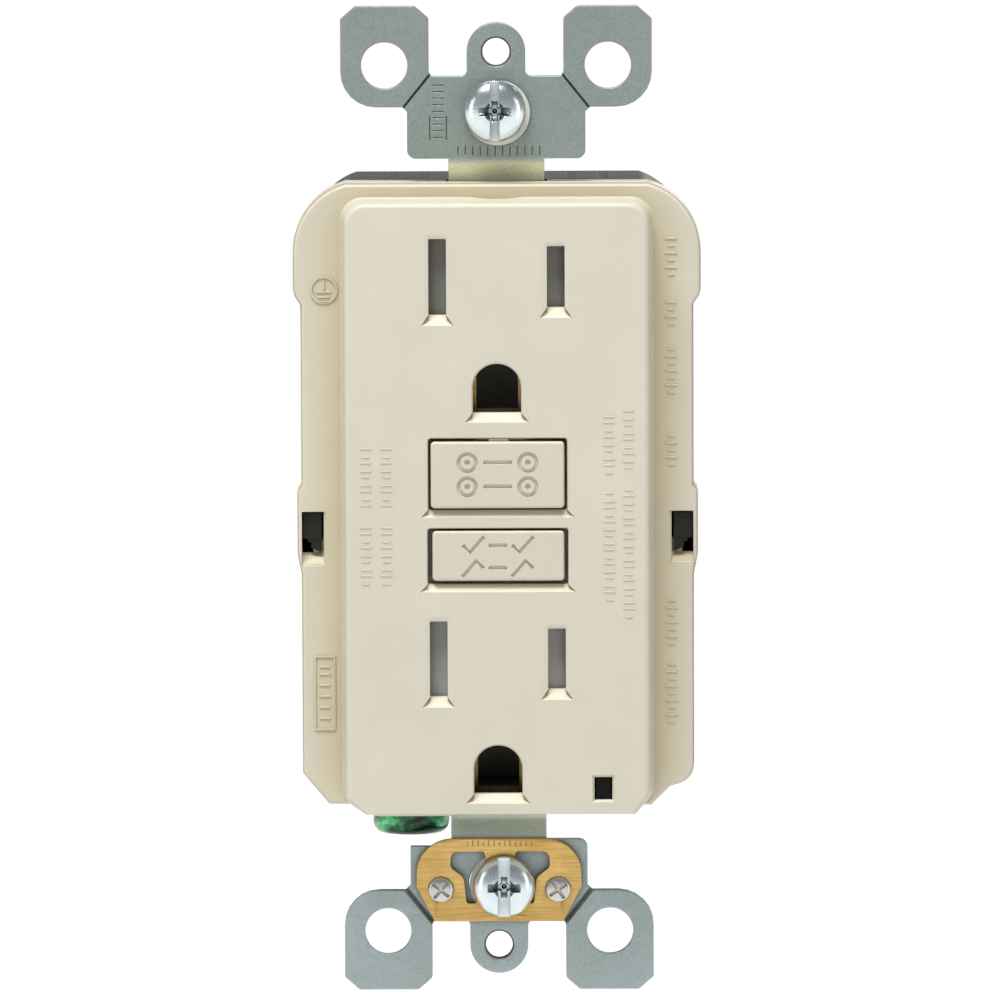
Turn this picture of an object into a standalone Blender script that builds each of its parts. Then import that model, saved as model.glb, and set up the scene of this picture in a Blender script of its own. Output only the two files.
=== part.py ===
"""Duplex ground-fault receptacle with test and reset buttons, modelled as its separate pieces.

Frame: X to the right, Y into the wall, Z up, so the face looks along -Y.
The origin is the middle of the mounting strap, in the plane of its wall side.
Sizes below are in millimetres. MM turns them into Blender's metres where a shape is made.
"""

import math

import bpy
import bmesh
from mathutils import Matrix, Vector

MM = 0.001
GAP = 0.2

# Levels along Y, from the face to the back of the housing
FACE_FRONT = -8.0
FACE_WALL = 1.6
SHELF_FRONT = -3.4
SHELF_WALL = 1.0
SKIRT_BACK = 3.5
HOUSING_FRONT = 3.8
HOUSING_BACK = 25.0
STRAP_THICKNESS = 1.0
STRAP_JOGGLE = 1.2
SEPARATOR_FRONT = 8.6
SEPARATOR_BACK = 9.8
BOARD_FRONT = 21.4
BOARD_BACK = 22.6

# Cover
COVER_TOP = 34.4
COVER_BOTTOM = -33.0
SHOULDER_HALF = 21.95
SIDE_HALF = 21.15
LATCH_HALF = 21.6
TOP_CORNER_RADIUS = 6.0
FACE_HALF = 16.7
FACE_TOP = 33.4
FACE_BOTTOM = -33.3
FACE_CORNER_RADIUS = 1.6

# Outlets
OUTLETS = {"upper": 24.6, "lower": -16.55}
BLADE_X = 6.35
SLOT_WIDTH = 2.0
NEUTRAL_SLOT_HEIGHT = 8.2
HOT_SLOT_HEIGHT = 6.8
GROUND_DROP = 11.9
GROUND_HOLE_RADIUS = 2.65
GROUND_HOLE_DEPTH_BELOW = 2.75

# Buttons
RESET_OPENING = (-7.4, -0.32, 7.5, 7.29)
TEST_OPENING = (-7.5, -8.36, 7.6, -2.3)
RESET_AXIS_Z = 3.5
TEST_AXIS_Z = -5.3

# Indicator window
WINDOW_X = 11.3
WINDOW_Z = -30.57
WINDOW_HALF_WIDTH = 0.96
WINDOW_HALF_HEIGHT = 1.23

# Strap
STRAP_HALF_HEIGHT = 53.35
NECK_HALF = 5.17
PLATE_HALF = 9.6
PLATE_INNER = 36.9
PLATE_OUTER = 45.8
EAR_INNER = 7.25
EAR_OUTER = 16.75
EAR_NEAR = 42.45
EAR_HOLE = (12.03, 46.95, 2.5)
LOBE_HALF = 3.15
WALL_PLATE_HOLE_Z = 48.42
WALL_PLATE_HOLE_RADIUS = 1.6
SCREW_SLOT_Z = 41.75
SPINE_HALF = 4.3

# Rivets: the ground contacts' rivet sits this far below each outlet's slots
RIVET_DROP = 6.9
CLIP_RIVET_X = {"left": -6.3, "right": 6.4}
CLIP_RIVET_Z = -42.3

# Screws
MOUNTING_SCREWS = {"top": (-0.15, 42.1), "bottom": (0.55, -41.9)}
MOUNTING_SHANK_RADIUS = 1.75
MOUNTING_HEAD_RADIUS = 3.35
GROUND_SCREW_XY = (-9.55, 4.6)
GROUND_HEAD_TOP = -34.4
GROUND_HEAD_BOTTOM = -36.8
GROUND_HEAD_RADIUS = 4.15
GROUND_SHANK_RADIUS = 1.9

# Terminals
TERMINALS = {
    "line_hot": (1, -16.0),
    "line_neutral": (-1, -16.0),
    "load_hot": (1, 16.0),
    "load_neutral": (-1, 16.0),
}
TERMINAL_Y = 12.0
POCKET_X = 14.4
POCKET_HALF = 5.3
POCKET_FRONT = 6.0
POCKET_BACK = 18.0
CAVITY_HALF = 13.1

# Mechanism
SOLENOID_Y = 16.2
LATCH_FRONT = 13.15
LATCH_BACK = 13.75
CORE_CENTRE_Z = -19.0


# ---------------------------------------------------------------- scene and materials


def clear_scene():
    for old in list(bpy.data.objects):
        bpy.data.objects.remove(old, do_unlink=True)


def new_collection(name):
    group = bpy.data.collections.new(name)
    bpy.context.scene.collection.children.link(group)
    return group


def new_material(name, colour, roughness, metallic=0.0):
    material = bpy.data.materials.new(name)
    material.use_nodes = True
    shader = material.node_tree.nodes["Principled BSDF"]
    shader.inputs["Base Color"].default_value = (*colour, 1.0)
    shader.inputs["Roughness"].default_value = roughness
    shader.inputs["Metallic"].default_value = metallic
    return material


def make_materials():
    return {
        "almond": new_material("almond_plastic", (0.71, 0.67, 0.56), 0.42),
        "black": new_material("black_plastic", (0.03, 0.028, 0.026), 0.45),
        "grey": new_material("grey_plastic", (0.33, 0.32, 0.31), 0.5),
        "white": new_material("white_plastic", (0.72, 0.72, 0.7), 0.5),
        "smoke": new_material("smoked_clear_plastic", (0.02, 0.02, 0.02), 0.15),
        "led": new_material("led_resin", (0.1, 0.45, 0.12), 0.2),
        "zinc": new_material("zinc_plated_steel", (0.42, 0.45, 0.43), 0.45, 1.0),
        "bright": new_material("bright_zinc", (0.72, 0.75, 0.76), 0.25, 1.0),
        "brass": new_material("brass", (0.78, 0.58, 0.26), 0.32, 1.0),
        "nickel": new_material("nickel_plated", (0.66, 0.65, 0.6), 0.3, 1.0),
        "green": new_material("green_passivated_steel", (0.03, 0.3, 0.13), 0.25, 0.8),
        "copper": new_material("enamelled_copper", (0.6, 0.22, 0.08), 0.35, 0.9),
        "steel": new_material("spring_steel", (0.5, 0.5, 0.5), 0.3, 1.0),
        "ferrite": new_material("ferrite", (0.05, 0.05, 0.055), 0.6),
        "board": new_material("circuit_laminate", (0.03, 0.2, 0.08), 0.4),
        "blue": new_material("epoxy_blue", (0.03, 0.1, 0.4), 0.35),
        "fibre": new_material("fibre_washer", (0.75, 0.74, 0.7), 0.8),
    }


# ---------------------------------------------------------------- outlines


def arc(centre, radius, start, end, steps):
    """Points on an arc, from one angle to another in degrees."""
    points = []
    for step in range(steps + 1):
        angle = math.radians(start + (end - start) * step / steps)
        points.append((centre[0] + radius * math.cos(angle), centre[1] + radius * math.sin(angle)))
    return points


def circle(u, v, radius, sides=18):
    return arc((u, v), radius, 0, 360 * (sides - 1) / sides, sides - 1)


def rounded(corners, steps=4):
    """An outline from corners (u, v, radius), with an arc at each corner that has a radius."""
    points = []
    for index, (u, v, radius) in enumerate(corners):
        here = Vector((u, v))
        if radius == 0:
            points.append((u, v))
            continue
        before = (Vector(corners[index - 1][:2]) - here).normalized()
        after = (Vector(corners[(index + 1) % len(corners)][:2]) - here).normalized()
        half = before.angle(after) / 2
        centre = here + (before + after).normalized() * radius / math.sin(half)
        start = here + before * radius / math.tan(half) - centre
        end = here + after * radius / math.tan(half) - centre
        first = math.degrees(math.atan2(start.y, start.x))
        turn = math.degrees(math.atan2(end.y, end.x)) - first
        turn = (turn + 180) % 360 - 180
        points += arc(centre, radius, first, first + turn, steps)
    return points


def box_outline(low_u, low_v, high_u, high_v, radius=0.0, steps=4):
    corners = [(low_u, low_v), (high_u, low_v), (high_u, high_v), (low_u, high_v)]
    return rounded([(u, v, radius) for u, v in corners], steps)


def mirrored(points):
    """The same outline on the other side of X = 0, still running the same way round."""
    return [(-u, v) for u, v in reversed(points)]


def flipped(points):
    """The same outline below Z = 0, still running the same way round."""
    return [(u, -v) for u, v in reversed(points)]


def ground_hole(outlet_z, grow=0.0):
    """The arched hole for a ground pin: round above, flat below."""
    centre_z = outlet_z - GROUND_DROP
    radius = GROUND_HOLE_RADIUS + grow
    bottom = centre_z - GROUND_HOLE_DEPTH_BELOW - grow
    return [(-radius, bottom), (radius, bottom)] + arc((0, centre_z), radius, 0, 180, 8)


# ---------------------------------------------------------------- shapes


class Shop:
    """Makes named shapes and keeps pieces and cutters in their own collections."""

    def __init__(self):
        self.parts = new_collection("gfci_outlet")
        self.cutters = new_collection("cutters")
        self.materials = make_materials()
        self.count = 0

    def tool_name(self):
        self.count += 1
        return f"tool_{self.count:03d}"

    def piece(self, obj, name, material, smooth=None):
        """Turns a shape into a named piece with a material."""
        obj.name = name
        obj.data.name = name
        obj.data.materials.clear()
        obj.data.materials.append(self.materials[material])
        self.parts.objects.link(obj)
        if smooth:
            obj.data.shade_smooth()
            obj.data.set_sharp_from_angle(angle=math.radians(smooth))
        return obj

    def tool(self, obj):
        """Files a shape as a cutter or as a shape to be joined on."""
        obj.name = self.tool_name()
        obj.hide_render = True
        obj.display_type = "WIRE"
        self.cutters.objects.link(obj)
        return obj

    def boolean(self, obj, operation, tools):
        for shape in tools:
            modifier = obj.modifiers.new(operation.lower(), "BOOLEAN")
            modifier.operation = operation
            modifier.solver = "EXACT"
            modifier.object = self.tool(shape)
        return obj

    def cut(self, obj, *tools):
        return self.boolean(obj, "DIFFERENCE", tools)

    def join(self, obj, *tools):
        return self.boolean(obj, "UNION", tools)


def mesh_object(bm, centre):
    mesh = bpy.data.meshes.new("shape")
    bm.to_mesh(mesh)
    bm.free()
    obj = bpy.data.objects.new("shape", mesh)
    obj.location = Vector(centre) * MM
    return obj


def block(low, high):
    """A box between two corners."""
    low = Vector(low)
    high = Vector(high)
    size = (high - low) * MM
    bm = bmesh.new()
    bmesh.ops.create_cube(bm, size=1.0, matrix=Matrix.Diagonal((*size, 1.0)))
    return mesh_object(bm, (low + high) / 2)


def rod(start, end, radius, sides=16):
    """A cylinder from one point to another."""
    start = Vector(start)
    end = Vector(end)
    span = end - start
    turn = span.to_track_quat("Z", "Y").to_matrix().to_4x4()
    bm = bmesh.new()
    bmesh.ops.create_cone(
        bm,
        cap_ends=True,
        segments=sides,
        radius1=radius * MM,
        radius2=radius * MM,
        depth=span.length * MM,
        matrix=turn,
    )
    return mesh_object(bm, (start + end) / 2)


TURN_TO = {
    "X": (math.radians(90), 0, math.radians(90)),
    "Y": (math.radians(90), 0, 0),
    "Z": (0, 0, 0),
}


def as_mesh(curve_object):
    """A curve as a mesh with its caps welded on, in the same place."""
    bpy.context.scene.collection.objects.link(curve_object)
    graph = bpy.context.evaluated_depsgraph_get()
    mesh = bpy.data.meshes.new_from_object(curve_object.evaluated_get(graph))
    bm = bmesh.new()
    bm.from_mesh(mesh)
    bmesh.ops.remove_doubles(bm, verts=bm.verts, dist=0.000002)
    bm.to_mesh(mesh)
    bm.free()
    obj = bpy.data.objects.new("shape", mesh)
    obj.matrix_world = curve_object.matrix_world
    bpy.data.objects.remove(curve_object, do_unlink=True)
    return obj


def extrusion(outlines, axis, low, high):
    """Flat outlines pulled along an axis; outlines inside the first are holes.

    Their coordinates are (x, z) for axis Y, (y, z) for axis X and (x, y) for axis Z.
    """
    curve = bpy.data.curves.new("outline", "CURVE")
    curve.dimensions = "2D"
    curve.fill_mode = "BOTH"
    curve.extrude = (high - low) / 2 * MM
    for outline in outlines:
        spline = curve.splines.new("POLY")
        spline.points.add(len(outline) - 1)
        for point, (u, v) in zip(spline.points, outline):
            point.co = (u * MM, v * MM, 0.0, 1.0)
        spline.use_cyclic_u = True
    obj = bpy.data.objects.new("outline", curve)
    middle = (low + high) / 2 * MM
    obj.rotation_euler = TURN_TO[axis]
    obj.location = {"X": (middle, 0, 0), "Y": (0, middle, 0), "Z": (0, 0, middle)}[axis]
    return as_mesh(obj)


def turned(profile, centre, axis, steps=16):
    """A solid of revolution. The profile is (radius, height) from the top down its outer side."""
    mesh = bpy.data.meshes.new("profile")
    points = [(radius * MM, 0.0, height * MM) for radius, height in profile]
    closed = profile[0][0] > 0
    edges = [(i, i + 1) for i in range(len(points) - 1)]
    if closed:
        edges.append((len(points) - 1, 0))
    mesh.from_pydata(points, edges, [])
    obj = bpy.data.objects.new("shape", mesh)
    screw = obj.modifiers.new("turn", "SCREW")
    screw.axis = "Z"
    screw.steps = steps
    screw.render_steps = steps
    screw.use_merge_vertices = True
    screw.merge_threshold = 0.000001
    obj.location = Vector(centre) * MM
    obj.rotation_euler = Vector(axis).to_track_quat("Z", "Y").to_euler()
    return obj


def wire(points, radius):
    """A round wire along a list of points, with closed ends."""
    curve = bpy.data.curves.new("wire", "CURVE")
    curve.dimensions = "3D"
    curve.bevel_depth = radius * MM
    curve.bevel_resolution = 2
    curve.use_fill_caps = True
    spline = curve.splines.new("POLY")
    spline.points.add(len(points) - 1)
    for point, place in zip(spline.points, points):
        point.co = (*(Vector(place) * MM), 1.0)
    return as_mesh(bpy.data.objects.new("wire", curve))


def coil_spring(start, end, radius, wire_radius, turns, per_turn=10):
    """A compression spring between two points."""
    start = Vector(start)
    span = Vector(end) - start
    turn = span.to_track_quat("Z", "Y")
    points = []
    for step in range(turns * per_turn + 1):
        angle = 2 * math.pi * step / per_turn
        rise = wire_radius + (span.length - 2 * wire_radius) * step / (turns * per_turn)
        local = Vector((radius * math.cos(angle), radius * math.sin(angle), rise))
        points.append(start + turn @ local)
    return wire(points, wire_radius)


def hung_on(name, axis_point, *pieces):
    """Parents moving pieces to an empty on their joint's axis, without moving them."""
    empty = bpy.data.objects.new(name, None)
    empty.empty_display_size = 0.004
    empty.location = Vector(axis_point) * MM
    bpy.context.scene.collection.objects.link(empty)
    for obj in pieces:
        obj.parent = empty
        obj.matrix_parent_inverse = Matrix.Translation(empty.location).inverted()


# ---------------------------------------------------------------- cover and housing


def cover_outline():
    """The cover's skirt: wide shoulders, narrower sides with a latch bulge, cut lower corners."""
    return rounded(
        [
            (-SHOULDER_HALF, COVER_TOP, TOP_CORNER_RADIUS),
            (-SHOULDER_HALF, 22.4, 0),
            (-SIDE_HALF, 21.1, 0),
            (-SIDE_HALF, 1.7, 0),
            (-LATCH_HALF, 1.25, 0),
            (-LATCH_HALF, -5.4, 0),
            (-SIDE_HALF, -7.9, 0),
            (-SIDE_HALF, -29.5, 0.4),
            (-18.3, COVER_BOTTOM, 0.4),
            (16.9, COVER_BOTTOM, 0),
            (18.6, -31.3, 0),
            (SIDE_HALF, -31.3, 2.4),
            (SIDE_HALF, -7.9, 0),
            (LATCH_HALF, -5.4, 0),
            (LATCH_HALF, 1.25, 0),
            (SIDE_HALF, 1.7, 0),
            (SIDE_HALF, 21.1, 0),
            (SHOULDER_HALF, 22.4, 0),
            (SHOULDER_HALF, COVER_TOP, TOP_CORNER_RADIUS),
        ],
        steps=6,
    )


def cover_cavity():
    return rounded(
        [
            (-19.9, 33.2, 5.0),
            (-19.9, -28.9, 0),
            (-17.6, -31.8, 0),
            (15.9, -31.8, 0),
            (17.7, -30.2, 0),
            (19.9, -29.0, 0),
            (19.9, 33.2, 5.0),
        ]
    )


def raised_face():
    """The raised panel, drawn in towards its front edge."""
    panel = extrusion(
        [box_outline(-FACE_HALF, FACE_BOTTOM, FACE_HALF, FACE_TOP, FACE_CORNER_RADIUS)],
        "Y",
        FACE_FRONT,
        SHELF_FRONT + 0.5,
    )
    side_draft = 0.5 / FACE_HALF
    for vertex in panel.data.vertices:
        if vertex.co.z > 0:
            vertex.co.x *= 1 - side_draft
            if vertex.co.y > 0:
                vertex.co.y -= 1.1 * MM
            else:
                vertex.co.y += 0.25 * MM
    return panel


def button_opening(opening):
    return extrusion([box_outline(*opening, 0.3, 2)], "Y", FACE_FRONT - 1, FACE_FRONT + 3)


def make_face_cover(shop):
    cover = extrusion([cover_outline()], "Y", SHELF_FRONT, SKIRT_BACK)
    shop.piece(cover, "face_cover", "almond")
    shop.join(cover, raised_face())
    inner_front = FACE_FRONT + FACE_WALL
    shelf_back = SHELF_FRONT + SHELF_WALL
    shop.cut(
        cover,
        block((-15.2, inner_front, -31.8), (15.2, shelf_back + 0.5, 31.6)),
        extrusion([cover_cavity()], "Y", shelf_back, SKIRT_BACK + 1),
        button_opening(RESET_OPENING),
        button_opening(TEST_OPENING),
        block(
            (WINDOW_X - WINDOW_HALF_WIDTH, FACE_FRONT - 1, WINDOW_Z - WINDOW_HALF_HEIGHT),
            (WINDOW_X + WINDOW_HALF_WIDTH, inner_front + 1, WINDOW_Z + WINDOW_HALF_HEIGHT),
        ),
    )
    for outlet_z in OUTLETS.values():
        for side, height in ((-1, NEUTRAL_SLOT_HEIGHT), (1, HOT_SLOT_HEIGHT)):
            middle = side * BLADE_X
            shop.cut(
                cover,
                block(
                    (middle - SLOT_WIDTH / 2, FACE_FRONT - 1, outlet_z - height / 2),
                    (middle + SLOT_WIDTH / 2, inner_front + 1, outlet_z + height / 2),
                ),
            )
        hole = extrusion([ground_hole(outlet_z)], "Y", FACE_FRONT - 1, inner_front + 1)
        shop.cut(cover, hole)
    for side in (-1, 1):
        low, high = sorted((side * 18.8, side * 21.25))
        shop.cut(cover, block((low, SHELF_FRONT - 1, -6.7), (high, SKIRT_BACK + 1, -1.0)))
    # The strap leaves through a notch in each end, and the ground screw passes the lower wall.
    shop.cut(
        cover,
        block((-NECK_HALF - GAP, -2.45, 30), (NECK_HALF + GAP, SKIRT_BACK + 1, 36)),
        block((-NECK_HALF - GAP, -2.45, -36), (NECK_HALF + GAP, SKIRT_BACK + 1, -30)),
        ground_screw_hole(),
    )


def housing_outline(inset=0.0):
    return rounded(
        [
            (-20.7 + inset, COVER_TOP - inset, 4.8),
            (-20.7 + inset, -29.3, 0),
            (-18.0 + inset / 2, -32.8 + inset, 0),
            (16.6 - inset / 2, -32.8 + inset, 0),
            (18.2 - inset / 2, -31.1 + inset, 0),
            (20.7 - inset, -30.2 + inset / 2, 0),
            (20.7 - inset, COVER_TOP - inset, 4.8),
        ]
    )


def ground_screw_hole():
    x, y = GROUND_SCREW_XY
    return rod((x, y, -36), (x, y, -29), GROUND_SHANK_RADIUS + 0.15)


def housing_pocket(side, middle_z):
    """The side recess that holds one terminal, with its shank hole and wire holes."""
    low, high = sorted((side * POCKET_X, side * 24))
    tools = [
        block(
            (low, POCKET_FRONT, middle_z - POCKET_HALF),
            (high, POCKET_BACK, middle_z + POCKET_HALF),
        ),
        rod((side * 12, TERMINAL_Y, middle_z), (side * 15, TERMINAL_Y, middle_z), 2.0),
    ]
    for offset in (-3.3, 3.3):
        hole_x = side * 16.4
        hole_z = middle_z + offset
        tools.append(rod((hole_x, POCKET_BACK - 1, hole_z), (hole_x, 27, hole_z), 1.4, 10))
    return tools


def make_rear_housing(shop):
    housing = extrusion([housing_outline()], "Y", HOUSING_FRONT, HOUSING_BACK)
    shop.piece(housing, "rear_housing", "black")
    for side in (-1, 1):
        low, high = sorted((side * 19.0, side * 20.95))
        hook = block((low, -2.9, -4.6), (high, HOUSING_FRONT + 1, -1.15))
        barb = block((low, -2.2, -5.5), (high - 0.9 * (side > 0), 0.0, -4.5))
        shop.join(housing, hook, barb)
    shop.cut(
        housing,
        block((-CAVITY_HALF, HOUSING_FRONT - 1, -31.4), (CAVITY_HALF, 23.6, 33.1)),
    )
    for side in (-1, 1):
        shop.cut(housing, housing_side_room(side, -9.0, 9.0), housing_side_room(side, 23.0, 28.6))
        shop.cut(housing, housing_side_room(side, -28.0, -23.0))
    for name, (side, middle_z) in TERMINALS.items():
        shop.cut(housing, *housing_pocket(side, middle_z))
        # A slot lets the terminal's conductor through the inner wall.
        low_yz, high_yz = (7.0, middle_z - 2.4), (8.3, middle_z + 2.4)
        if name.startswith("line"):
            low_yz, high_yz = (10.8, middle_z + 2.3), (12.2, middle_z + 4.9)
        shop.cut(housing, side_block(side, 12.5, POCKET_X + 0.5, low_yz, high_yz))
    shop.cut(housing, ground_screw_hole())


def housing_side_room(side, low_z, high_z):
    low, high = sorted((side * (CAVITY_HALF - 0.5), side * 19.3))
    return block((low, HOUSING_FRONT - 1, low_z), (high, 23.6, high_z))


def make_mid_separator(shop):
    half = CAVITY_HALF - GAP
    plate = block((-half, SEPARATOR_FRONT, -31.2), (half, SEPARATOR_BACK, 32.9))
    shop.piece(plate, "mid_separator", "white")
    boss_z = RESET_AXIS_Z
    shop.join(
        plate,
        rod((0, 2.9, boss_z), (0, SEPARATOR_FRONT + 0.5, boss_z), 2.7),
        block((-half, 0.2, 28.9), (half, SEPARATOR_FRONT + 0.5, 30.1)),
        block((-half, 4.0, -24.0), (-half + 0.8, SEPARATOR_FRONT + 0.5, 11.0)),
        block((half - 0.8, 4.0, -24.0), (half, SEPARATOR_FRONT + 0.5, 11.0)),
    )
    shop.cut(plate, rod((0, 2, boss_z), (0, 11, boss_z), 1.35))
    for side in (-1, 1):
        low, high = sorted((side * 6.7, side * 12.2))
        shop.cut(
            plate,
            block((low, SEPARATOR_FRONT - 0.4, 1.2), (high, SEPARATOR_BACK + 1, 5.9)),
        )
    led_low = (WINDOW_X - 1.1, SEPARATOR_FRONT - 1, WINDOW_Z - 0.7)
    led_high = (WINDOW_X + 1.1, SEPARATOR_BACK + 1, WINDOW_Z + 1.4)
    shop.cut(plate, block(led_low, led_high))


# ---------------------------------------------------------------- strap and its fittings


def end_half():
    """The right half of one end of the strap: a plate with an ear, up to its centre lobe."""
    return rounded(
        [
            (NECK_HALF, PLATE_INNER, 0),
            (PLATE_HALF, PLATE_INNER, 0.85),
            (PLATE_HALF, EAR_NEAR - 0.5, 0),
            (PLATE_HALF + 0.5, EAR_NEAR, 0),
            (EAR_OUTER, EAR_NEAR, 3.8),
            (EAR_OUTER, STRAP_HALF_HEIGHT - 1.4, 0),
            (EAR_OUTER - 1.6, STRAP_HALF_HEIGHT, 0),
            (EAR_INNER + 1.5, STRAP_HALF_HEIGHT, 0.5),
            (EAR_INNER, STRAP_HALF_HEIGHT - 1.3, 0.5),
            (EAR_INNER, PLATE_OUTER + 0.4, 0),
            (EAR_INNER - 0.3, PLATE_OUTER, 0),
            (LOBE_HALF, PLATE_OUTER, 0.6),
        ],
        steps=3,
    )


def strap_outline():
    """Front view of the whole strap: two ends joined by a spine that frames the buttons."""
    half = end_half()
    end = half + arc((0, WALL_PLATE_HOLE_Z), LOBE_HALF, 0, 180, 8) + mirrored(half)
    spine = rounded(
        [
            (NECK_HALF, -31.9, 0),
            (SPINE_HALF, -31.4, 0),
            (SPINE_HALF, -11.0, 0),
            (9.6, -11.0, 0.5),
            (9.6, 10.0, 0.5),
            (SPINE_HALF, 10.0, 0),
            (SPINE_HALF, 31.4, 0),
            (NECK_HALF, 31.9, 0),
        ],
        steps=2,
    )
    return spine + end + mirrored(spine) + flipped(end)


def strap_holes():
    ear_x, ear_z, ear_radius = EAR_HOLE
    slot = box_outline(-3.7, SCREW_SLOT_Z - 2.2, 3.7, SCREW_SLOT_Z + 2.2, 2.1)
    end = [
        circle(ear_x, ear_z, ear_radius),
        circle(-ear_x, ear_z, ear_radius),
        circle(0, WALL_PLATE_HOLE_Z, WALL_PLATE_HOLE_RADIUS, 16),
        slot,
    ]
    button_window = box_outline(-7.9, -9.3, 7.9, 8.2)
    grounds = [ground_hole(outlet_z, 0.15) for outlet_z in OUTLETS.values()]
    rivets = [circle(0, outlet_z - RIVET_DROP, 0.85, 12) for outlet_z in OUTLETS.values()]
    clip_rivets = [circle(x, CLIP_RIVET_Z, 0.95, 16) for x in CLIP_RIVET_X.values()]
    return end + [flipped(hole) for hole in end] + [button_window] + grounds + rivets + clip_rivets


def strap_profile():
    """Side view of the strap, which steps forward where it enters the body."""
    half = [
        (-STRAP_THICKNESS, 55),
        (-STRAP_THICKNESS, 36.7),
        (-STRAP_THICKNESS - STRAP_JOGGLE, 35.5),
    ]
    back = [(-STRAP_JOGGLE, 35.1), (0, 36.3), (0, 55)]
    return half + flipped(half) + flipped(back) + back


def break_off_groove(side, sign):
    """A groove in the strap's front, across the root of an ear."""
    level = -STRAP_THICKNESS - 0.06
    start = (side * 6.7, level, sign * 46.5)
    end = (side * 10.4, level, sign * 41.9)
    return rod(start, end, 0.3, 5)


def make_mounting_strap(shop):
    strap = extrusion([strap_profile()], "X", -18, 18)
    shop.piece(strap, "mounting_strap", "zinc")
    shop.boolean(strap, "INTERSECT", [extrusion([strap_outline()] + strap_holes(), "Y", -4, 2)])
    x, y = GROUND_SCREW_XY
    tab = extrusion(
        [box_outline(-13.6, -2.1, -4.2, 8.6, 0.8, 2), circle(x, y, GROUND_SHANK_RADIUS + 0.12)],
        "Z",
        -34.25,
        -33.45,
    )
    shop.join(strap, tab)
    # The lower plate is cut back at one corner to clear the ground screw's head.
    shop.cut(strap, block((-10.5, -1.5, -37.7), (-NECK_HALF, 0.5, -36.2)))
    for sign in (1, -1):
        for side in (1, -1):
            shop.cut(strap, break_off_groove(side, sign))


def clip_outline():
    """The grounding clip: broad round shoulders above, tapering to a flat lower edge."""
    half = arc((4.9, -40.35), 3.57, 90, 0, 6)
    half = [(u + (u - 4.9) * 0.1, v) for u, v in half]
    half += [(8.97, -42.0), (6.95, -45.8)]
    gap = [(1.6, -45.8), (1.6, -44.6)]
    opening = arc((0.4, MOUNTING_SCREWS["bottom"][1]), 3.1, -60, 240, 14)
    return half + gap + opening + [(-1.0, -44.6), (-1.0, -45.8)] + mirrored(half)


def clip_window(side):
    """A curved window beside the mounting screw, wide above and narrow below."""
    points = [(5.3, -38.2), (2.9, -38.2), (3.0, -38.9), (4.2, -40.4), (4.1, -41.1), (5.2, -40.0)]
    outline = [(side * u, v) for u, v in points]
    return outline if side < 0 else outline[::-1]


def make_grounding_clip(shop):
    rivet_holes = [circle(x, CLIP_RIVET_Z, 0.95, 16) for x in CLIP_RIVET_X.values()]
    windows = [clip_window(-1), clip_window(1)]
    clip = extrusion([clip_outline()] + rivet_holes + windows, "Y", -1.8, -1.15)
    shop.piece(clip, "grounding_clip", "brass")
    for side, x in CLIP_RIVET_X.items():
        profile = [(0, 2.3), (1.15, 2.3), (1.35, 2.1), (1.35, 1.9), (0.8, 1.9), (0.8, 0.0), (0, 0)]
        rivet = turned(profile, (x, 0, CLIP_RIVET_Z), (0, -1, 0), 14)
        shop.piece(rivet, f"clip_rivet_{side}", "brass", 40)


def head_recess(centre, axis, size, depth):
    """Two crossed slots for a screwdriver, at the top of a head."""
    centre = Vector(centre)
    axis = Vector(axis)
    tools = []
    for turn_angle in (0, 90):
        bm = bmesh.new()
        shape = Vector((0.95, size, depth * 2)) * MM
        bmesh.ops.create_cube(bm, size=1.0, matrix=Matrix.Diagonal((*shape, 1.0)))
        bmesh.ops.rotate(bm, verts=bm.verts, matrix=Matrix.Rotation(math.radians(turn_angle), 3, "Z"))
        tool = mesh_object(bm, centre)
        tool.rotation_euler = axis.to_track_quat("Z", "Y").to_euler()
        tools.append(tool)
    return tools


def screw_profile(head_radius, head_height, shank_radius, shank_length):
    """A round-headed screw: (radius, height) with the head's underside at height 0."""
    return [
        (0, head_height),
        (head_radius * 0.45, head_height * 0.93),
        (head_radius * 0.8, head_height * 0.62),
        (head_radius, head_height * 0.15),
        (head_radius * 0.97, 0),
        (shank_radius, 0),
        (shank_radius, -shank_length + 0.6),
        (shank_radius - 0.5, -shank_length),
        (0, -shank_length),
    ]


def make_mounting_screws(shop):
    for end, (x, z) in MOUNTING_SCREWS.items():
        profile = screw_profile(MOUNTING_HEAD_RADIUS, 2.1, MOUNTING_SHANK_RADIUS, 24.0)
        screw = turned(profile, (x, -2.15, z), (0, -1, 0))
        shop.piece(screw, f"{end}_mounting_screw", "bright", 40)
        shop.cut(screw, *head_recess((x, -4.25, z), (0, -1, 0), 4.6, 1.0))
        hole = MOUNTING_SHANK_RADIUS + 0.12
        washer_profile = [(2.9, 0.5), (2.9, 0.0), (hole, 0.0), (hole, 0.5)]
        washer = turned(washer_profile, (x, -1.15, z), (0, -1, 0))
        shop.piece(washer, f"{end}_screw_retainer", "fibre", 40)
        hung_on(f"{end}_screw_axis", (x, 0, z), screw, washer)


def make_ground_screw(shop):
    x, y = GROUND_SCREW_XY
    height = GROUND_HEAD_TOP - GROUND_HEAD_BOTTOM
    profile = [
        (0, height),
        (2.6, height),
        (3.6, height * 0.8),
        (GROUND_HEAD_RADIUS, height * 0.4),
        (GROUND_HEAD_RADIUS, 0),
        (GROUND_SHANK_RADIUS, 0),
        (GROUND_SHANK_RADIUS, -4.2),
        (1.5, -4.8),
        (0, -4.8),
    ]
    screw = turned(profile, (x, y, GROUND_HEAD_TOP), (0, 0, -1))
    shop.piece(screw, "ground_screw", "green", 40)
    shop.cut(screw, *head_recess((x, y, GROUND_HEAD_BOTTOM), (0, 0, -1), 5.0, 0.9))
    hung_on("ground_screw_axis", (x, y, 0), screw)


# ---------------------------------------------------------------- contacts and shutters


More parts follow.
